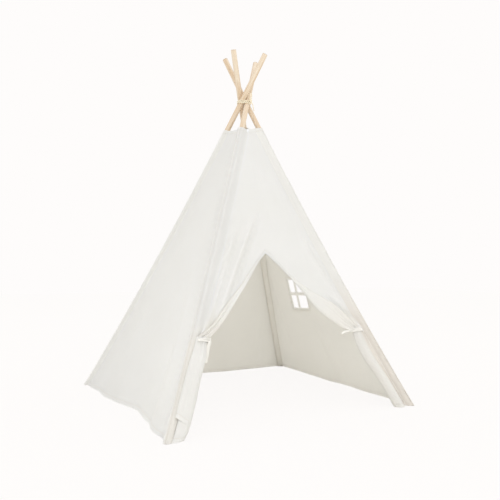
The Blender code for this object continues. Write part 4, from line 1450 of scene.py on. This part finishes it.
# The loop and the tail that leave the knot: beside it, up and out, in metres
LASHING_LOOP = (
    (-0.002, 0, 0), (-0.004, 0.010, 0.002), (-0.009, 0.024, 0.003), (-0.006, 0.036, 0.004),
    (0.001, 0.032, 0.005), (0.002, 0.016, 0.004), (0.002, 0.004, 0),
)
LASHING_TAIL = (
    (0.002, 0, 0), (0.008, -0.010, 0.004), (0.013, -0.024, 0.005), (0.020, -0.042, 0.004),
)
LASHING_TURN_STEPS = 40
WINDING_POINTS, KNOT_POINTS, LOOP_POINTS, TAIL_POINTS = 620, 96, 70, 46
KNOT_OUT = 0.0065
KNOT_SIZE, KNOT_DEPTH = 0.0027, 0.0026
CORD_PITCH = 0.013             # of the twist
END_PITCH = 0.010


def build_lashing():
    """Three turns of cord round the crossing, a knot in front and two short ends."""
    top = HINGE.z + ROPE_PITCH * ROPE_TURNS / 2
    start = math.radians(ROPE_KNOT_DEG)
    rough = []
    steps = LASHING_TURN_STEPS * ROPE_TURNS
    for i in range(steps + 1):
        turns = ROPE_TURNS * i / steps
        rough.append(crown_hull_point(start + 2 * math.pi * turns, top - ROPE_PITCH * turns))
    out = Vector((math.cos(start), math.sin(start), 0.0))
    beside = Vector((-out.y, out.x, 0.0))
    knot = (rough[0] + rough[-1]) / 2 + out * KNOT_OUT
    first, last = rough[0], rough[-1]
    upper = [knot + UP * 0.004, first + out * 0.004 - beside * 0.006, first - beside * 0.0005]
    lower = [last + beside * 0.0005, last + out * 0.004 + beside * 0.006, knot - UP * 0.004]
    ways = (beside, UP, out)
    winding = curve_through(upper + rough[1:-1] + lower, WINDING_POINTS)
    turns = trefoil(knot, KNOT_POINTS, beside * KNOT_SIZE, UP * KNOT_SIZE, out * KNOT_DEPTH)
    loop = curve_through(offsets(knot, ways, LASHING_LOOP), LOOP_POINTS)
    tail = curve_through(offsets(knot, ways, LASHING_TAIL), TAIL_POINTS)
    return join([
        cord_object("lashing_winding", winding, ROPE_RADIUS, CORD_PITCH),
        cord_object("lashing_knot", turns, ROPE_RADIUS, CORD_PITCH, closed=True),
        cord_object("lashing_loop", loop, ROPE_RADIUS * 0.8, END_PITCH),
        cord_object("lashing_tail", tail, ROPE_RADIUS * 0.85, END_PITCH),
    ], "crown_lashing")


# Door ties. front: where the band starts on the sleeve, across from the pole and out. ends: the
# free ends from the knot, across, down and out.
TIES = {
    "left": {
        "wide": 0.0060,
        "front": [(0.013, 0.0110), (0.017, 0.0188), (0.026, 0.0196)],
        "ends": [
            [(0, 0, 0), (0.002, 0.007, 0.004), (-0.003, 0.024, 0.005), (-0.007, 0.046, 0.005),
             (-0.010, 0.068, 0.005)],
            [(0, 0, 0), (-0.003, 0.008, 0.006), (-0.010, 0.028, 0.009), (-0.013, 0.054, 0.009),
             (-0.015, 0.086, 0.009)],
        ],
    },
    "right": {
        "wide": 0.0080,
        "front": [(0.031, 0.0010), (0.034, 0.0110), (0.042, 0.0160)],
        "ends": [
            [(0, 0, 0), (0.010, -0.005, 0.004), (0.022, -0.011, 0.003), (0.032, -0.014, 0.002)],
            [(0, 0, 0), (0.010, 0.001, 0.005), (0.026, 0.002, 0.005), (0.042, 0.007, 0.003),
             (0.050, 0.012, 0.002)],
        ],
    },
}
# Round the gathered cloth: across in shares of its width, and out; then inside, across and out
TIE_ROUND = (
    (0.70, 0.0168), (0.86, 0.0128), (0.97, 0.0078), (None, 0.0), (0.97, -0.0072), (0.80, -0.0105),
)
TIE_INSIDE = [(0.038, -0.0125), (0.030, -0.0125), (0.022, -0.0110)]
TIE_KNOT_PLACE = 6
TIE_BAND_POINTS, TIE_KNOT_POINTS, TIE_END_POINTS = 60, 84, 44
# Thickness and fold of the bands, and width, thickness and fold of the knot's and the ends' tape
TIE_BAND_TAPE = (0.0012, 0.0006)
TIE_KNOT_TAPE = (0.0056, 0.0030, 0.0004)
TIE_END_TAPE = (0.0085, 0.0014, 0.0008)
TIE_WAVE = 0.0015
# Each band's place above the tie's height, and how far it stands out over the one before
TIE_BANDS = ((0.002, 0.0004), (-0.003, 0.0012))


def tie_ring(side, height, grow=0.0):
    """Places round the gathered cloth at a height, from the sleeve's front to its inside."""
    facts = FLAPS[side]
    centre = pole_point(LEGS[facts["leg"]], along_at(height))
    across = Vector((facts["sign"], 0.0, 0.0))
    width = value_at(facts["width"], height) + 0.004
    round_cloth = [(width * share if share else width + 0.001, out) for share, out in TIE_ROUND]
    ring = []
    for a, o in TIES[side]["front"] + round_cloth + TIE_INSIDE:
        wider = grow if a > 0.045 else 0.0
        ring.append(centre + across * (a + wider) + OUT * (o + math.copysign(grow, o)))
    return ring


def build_tie(side):
    """A tape sewn to the sleeve, wound twice round the gathered cloth and tied at the door side."""
    azimuth, sign = LEGS[FLAPS[side]["leg"]], FLAPS[side]["sign"]
    tangent = pole_direction(azimuth, along_at(TIE_HEIGHT))
    across = Vector((sign, 0.0, 0.0))

    def strip(part, line, section, up, closed=False):
        return swept_object(f"{side}_tie_{part}", line, lambda k: flat_section(*section), tape, up,
                            closed)

    def band(i, height, grow):
        ring = curve_through(tie_ring(side, height, grow), TIE_BAND_POINTS)
        ring = [p + tangent * TIE_WAVE * math.sin(5 * k / (TIE_BAND_POINTS - 1) + i * 2)
                for k, p in enumerate(ring)]
        centre = pole_point(azimuth, along_at(height)) + across * 0.03

        def away(k):
            off = ring[k] - centre
            return (off - tangent * off.dot(tangent)).normalized()

        return strip(f"band_{i}", ring, (TIES[side]["wide"], *TIE_BAND_TAPE), away)

    pieces = [band(i, TIE_HEIGHT + shift, grow) for i, (shift, grow) in enumerate(TIE_BANDS)]
    knot = tie_ring(side, TIE_HEIGHT)[TIE_KNOT_PLACE] + across * 0.004 + OUT * 0.004
    turns = trefoil(knot, TIE_KNOT_POINTS, OUT * 0.0026, tangent * 0.0024, across * 0.0022)
    pieces.append(strip("knot", turns, TIE_KNOT_TAPE, lambda k: (turns[k] - knot).normalized(),
                        closed=True))
    for i, places in enumerate(TIES[side]["ends"]):
        line = curve_through(offsets(knot, (across, -UP, OUT), places), TIE_END_POINTS)
        pieces.append(strip(f"end_{i}", line, TIE_END_TAPE,
                            lambda k: (OUT + UP * 0.25).normalized()))
    return join(pieces, side + "_door_tie_knotted")


# Stage

def end_tree(tree, output, share, a, b):
    """Ends a tree of nodes in a mix of two shaders."""
    add_node(tree, output, {"Surface": add_node(tree, "MixShader", {0: share, 1: a, 2: b})})


def build_stage():
    """A plain pale floor that keeps the object's shadow, and a white surround."""
    select_only()
    bpy.ops.mesh.primitive_plane_add(size=16.0, location=(0.0, 0.0, -0.0005))
    floor = bpy.context.active_object
    floor.name = "studio_floor"
    mat = bpy.data.materials.new("studio_floor_matt")
    mat.use_nodes = True
    tree = mat.node_tree
    tree.nodes.clear()
    matt = add_node(tree, "BsdfDiffuse", {"Color": srgb("F4F2EC")})
    white = add_node(tree, "Emission", {"Color": srgb("FEFCFB"), "Strength": 1.0})
    seen = maths(tree, "MULTIPLY", add_node(tree, "LightPath", output="Is Camera Ray"), FLOOR_WHITE)
    end_tree(tree, "OutputMaterial", seen, matt, white)
    floor.data.materials.append(mat)
    world = bpy.data.worlds.new("studio")
    bpy.context.scene.world = world
    world.use_nodes = True
    tree = world.node_tree
    tree.nodes.clear()
    soft = add_node(tree, "Background", {"Color": srgb("FFFFFF"), "Strength": WORLD_LIGHT})
    surround = add_node(tree, "Background", {"Color": srgb("FEFCFB"), "Strength": 1.0})
    path = add_node(tree, "LightPath").node.outputs
    direct = maths(tree, "MAXIMUM", path["Is Camera Ray"], path["Is Glossy Ray"])
    through = maths(tree, "MAXIMUM", direct, path["Is Transmission Ray"])
    end_tree(tree, "OutputWorld", through, soft, surround)
    for name, place, size, power in LAMPS:
        data = bpy.data.lights.new(name, "AREA")
        data.shape = "SQUARE"
        data.size = size
        data.energy = power
        lamp = new_object(name, data)
        lamp.location = place
        lamp.rotation_euler = (Vector(LAMP_AIM) - Vector(place)).to_track_quat("-Z", "Y").to_euler()


def make_camera():
    data = bpy.data.cameras.new("camera")
    data.sensor_width = SENSOR_WIDTH
    data.lens = CAMERA_LENS
    data.shift_x, data.shift_y = CAMERA_SHIFT
    camera = new_object("camera", data)
    a, e = CAMERA_AZIMUTH, CAMERA_ELEVATION
    ahead = Vector((math.sin(a) * math.cos(e), math.cos(a) * math.cos(e), math.sin(e)))
    right = ahead.cross(UP).normalized()
    up = right.cross(ahead)
    cos, sin = math.cos(CAMERA_ROLL), math.sin(CAMERA_ROLL)
    right, up = right * cos + up * sin, up * cos - right * sin
    turn = Matrix((right, up, -ahead)).transposed().to_4x4()
    camera.matrix_world = Matrix.Translation(CAMERA_PLACE) @ turn
    bpy.context.scene.camera = camera
    bpy.context.scene.view_settings.view_transform = "Standard"


def finish_nodes():
    """The CAD's own solids get the materials of what they stand for."""
    for name, obj in frame["nodes"].items():
        if "ferrule" in name:
            finish = steel
        elif "pole" in name:
            finish = pine_inner
        elif name == "lashing_rope":
            finish = cord_material
        elif "tie" in name or "trim" in name:
            finish = tape
        else:
            finish = canvas
        obj.data.materials.clear()
        obj.data.materials.append(finish)


def stand_for(obj, node, body=None):
    """Hides the CAD node that the piece stands for, and hangs it on the body that carries it."""
    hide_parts(node)
    if body:
        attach(obj, body)


def main():
    make_camera()
    build_stage()
    finish_nodes()

    for leg in LEGS:
        top = model_pole_top(leg)
        stand_for(top, leg + "_pole_upper", leg + "_leg")
        sleeve = build_sleeve(leg)
        stand_for(sleeve, leg + "_sleeve", leg + "_leg")
        declare(sleeve, [leg + "_pole_top"])

    for wall in WALLS:
        for half in (0, 1):
            piece = build_wall_half(wall, half)
            stand_for(piece, WALL_NODES[wall])
            declare(piece, [half_leg(wall, half) + "_pole_sleeve"])
            gather(piece, wall, half)
    binding = build_window_binding()
    stand_for(binding, "window_trim")
    declare(binding, ["right_wall_right_half"])
    gather(binding, "right", 1)

    for half, side in enumerate(("left", "right")):
        leg = FLAPS[side]["leg"]
        roll = build_roll(side)
        stand_for(roll, "front_panel")
        declare(roll, [f"front_wall_{side}_half"])
        gather(roll, "front", half)
        flap = build_flap(side)
        stand_for(flap, side + "_door_flap")
        declare(flap, [leg + "_pole_sleeve"])
        start, end = [pole_point(LEGS[leg], along_at(height)) for height in FLAP_BLEND]
        tuple(start)
        tuple(end)
        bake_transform(flap)
        stand_for(build_tie(side), side + "_door_tie", leg + "_leg")

    stand_for(build_lashing(), "lashing_rope", "crown")


main()
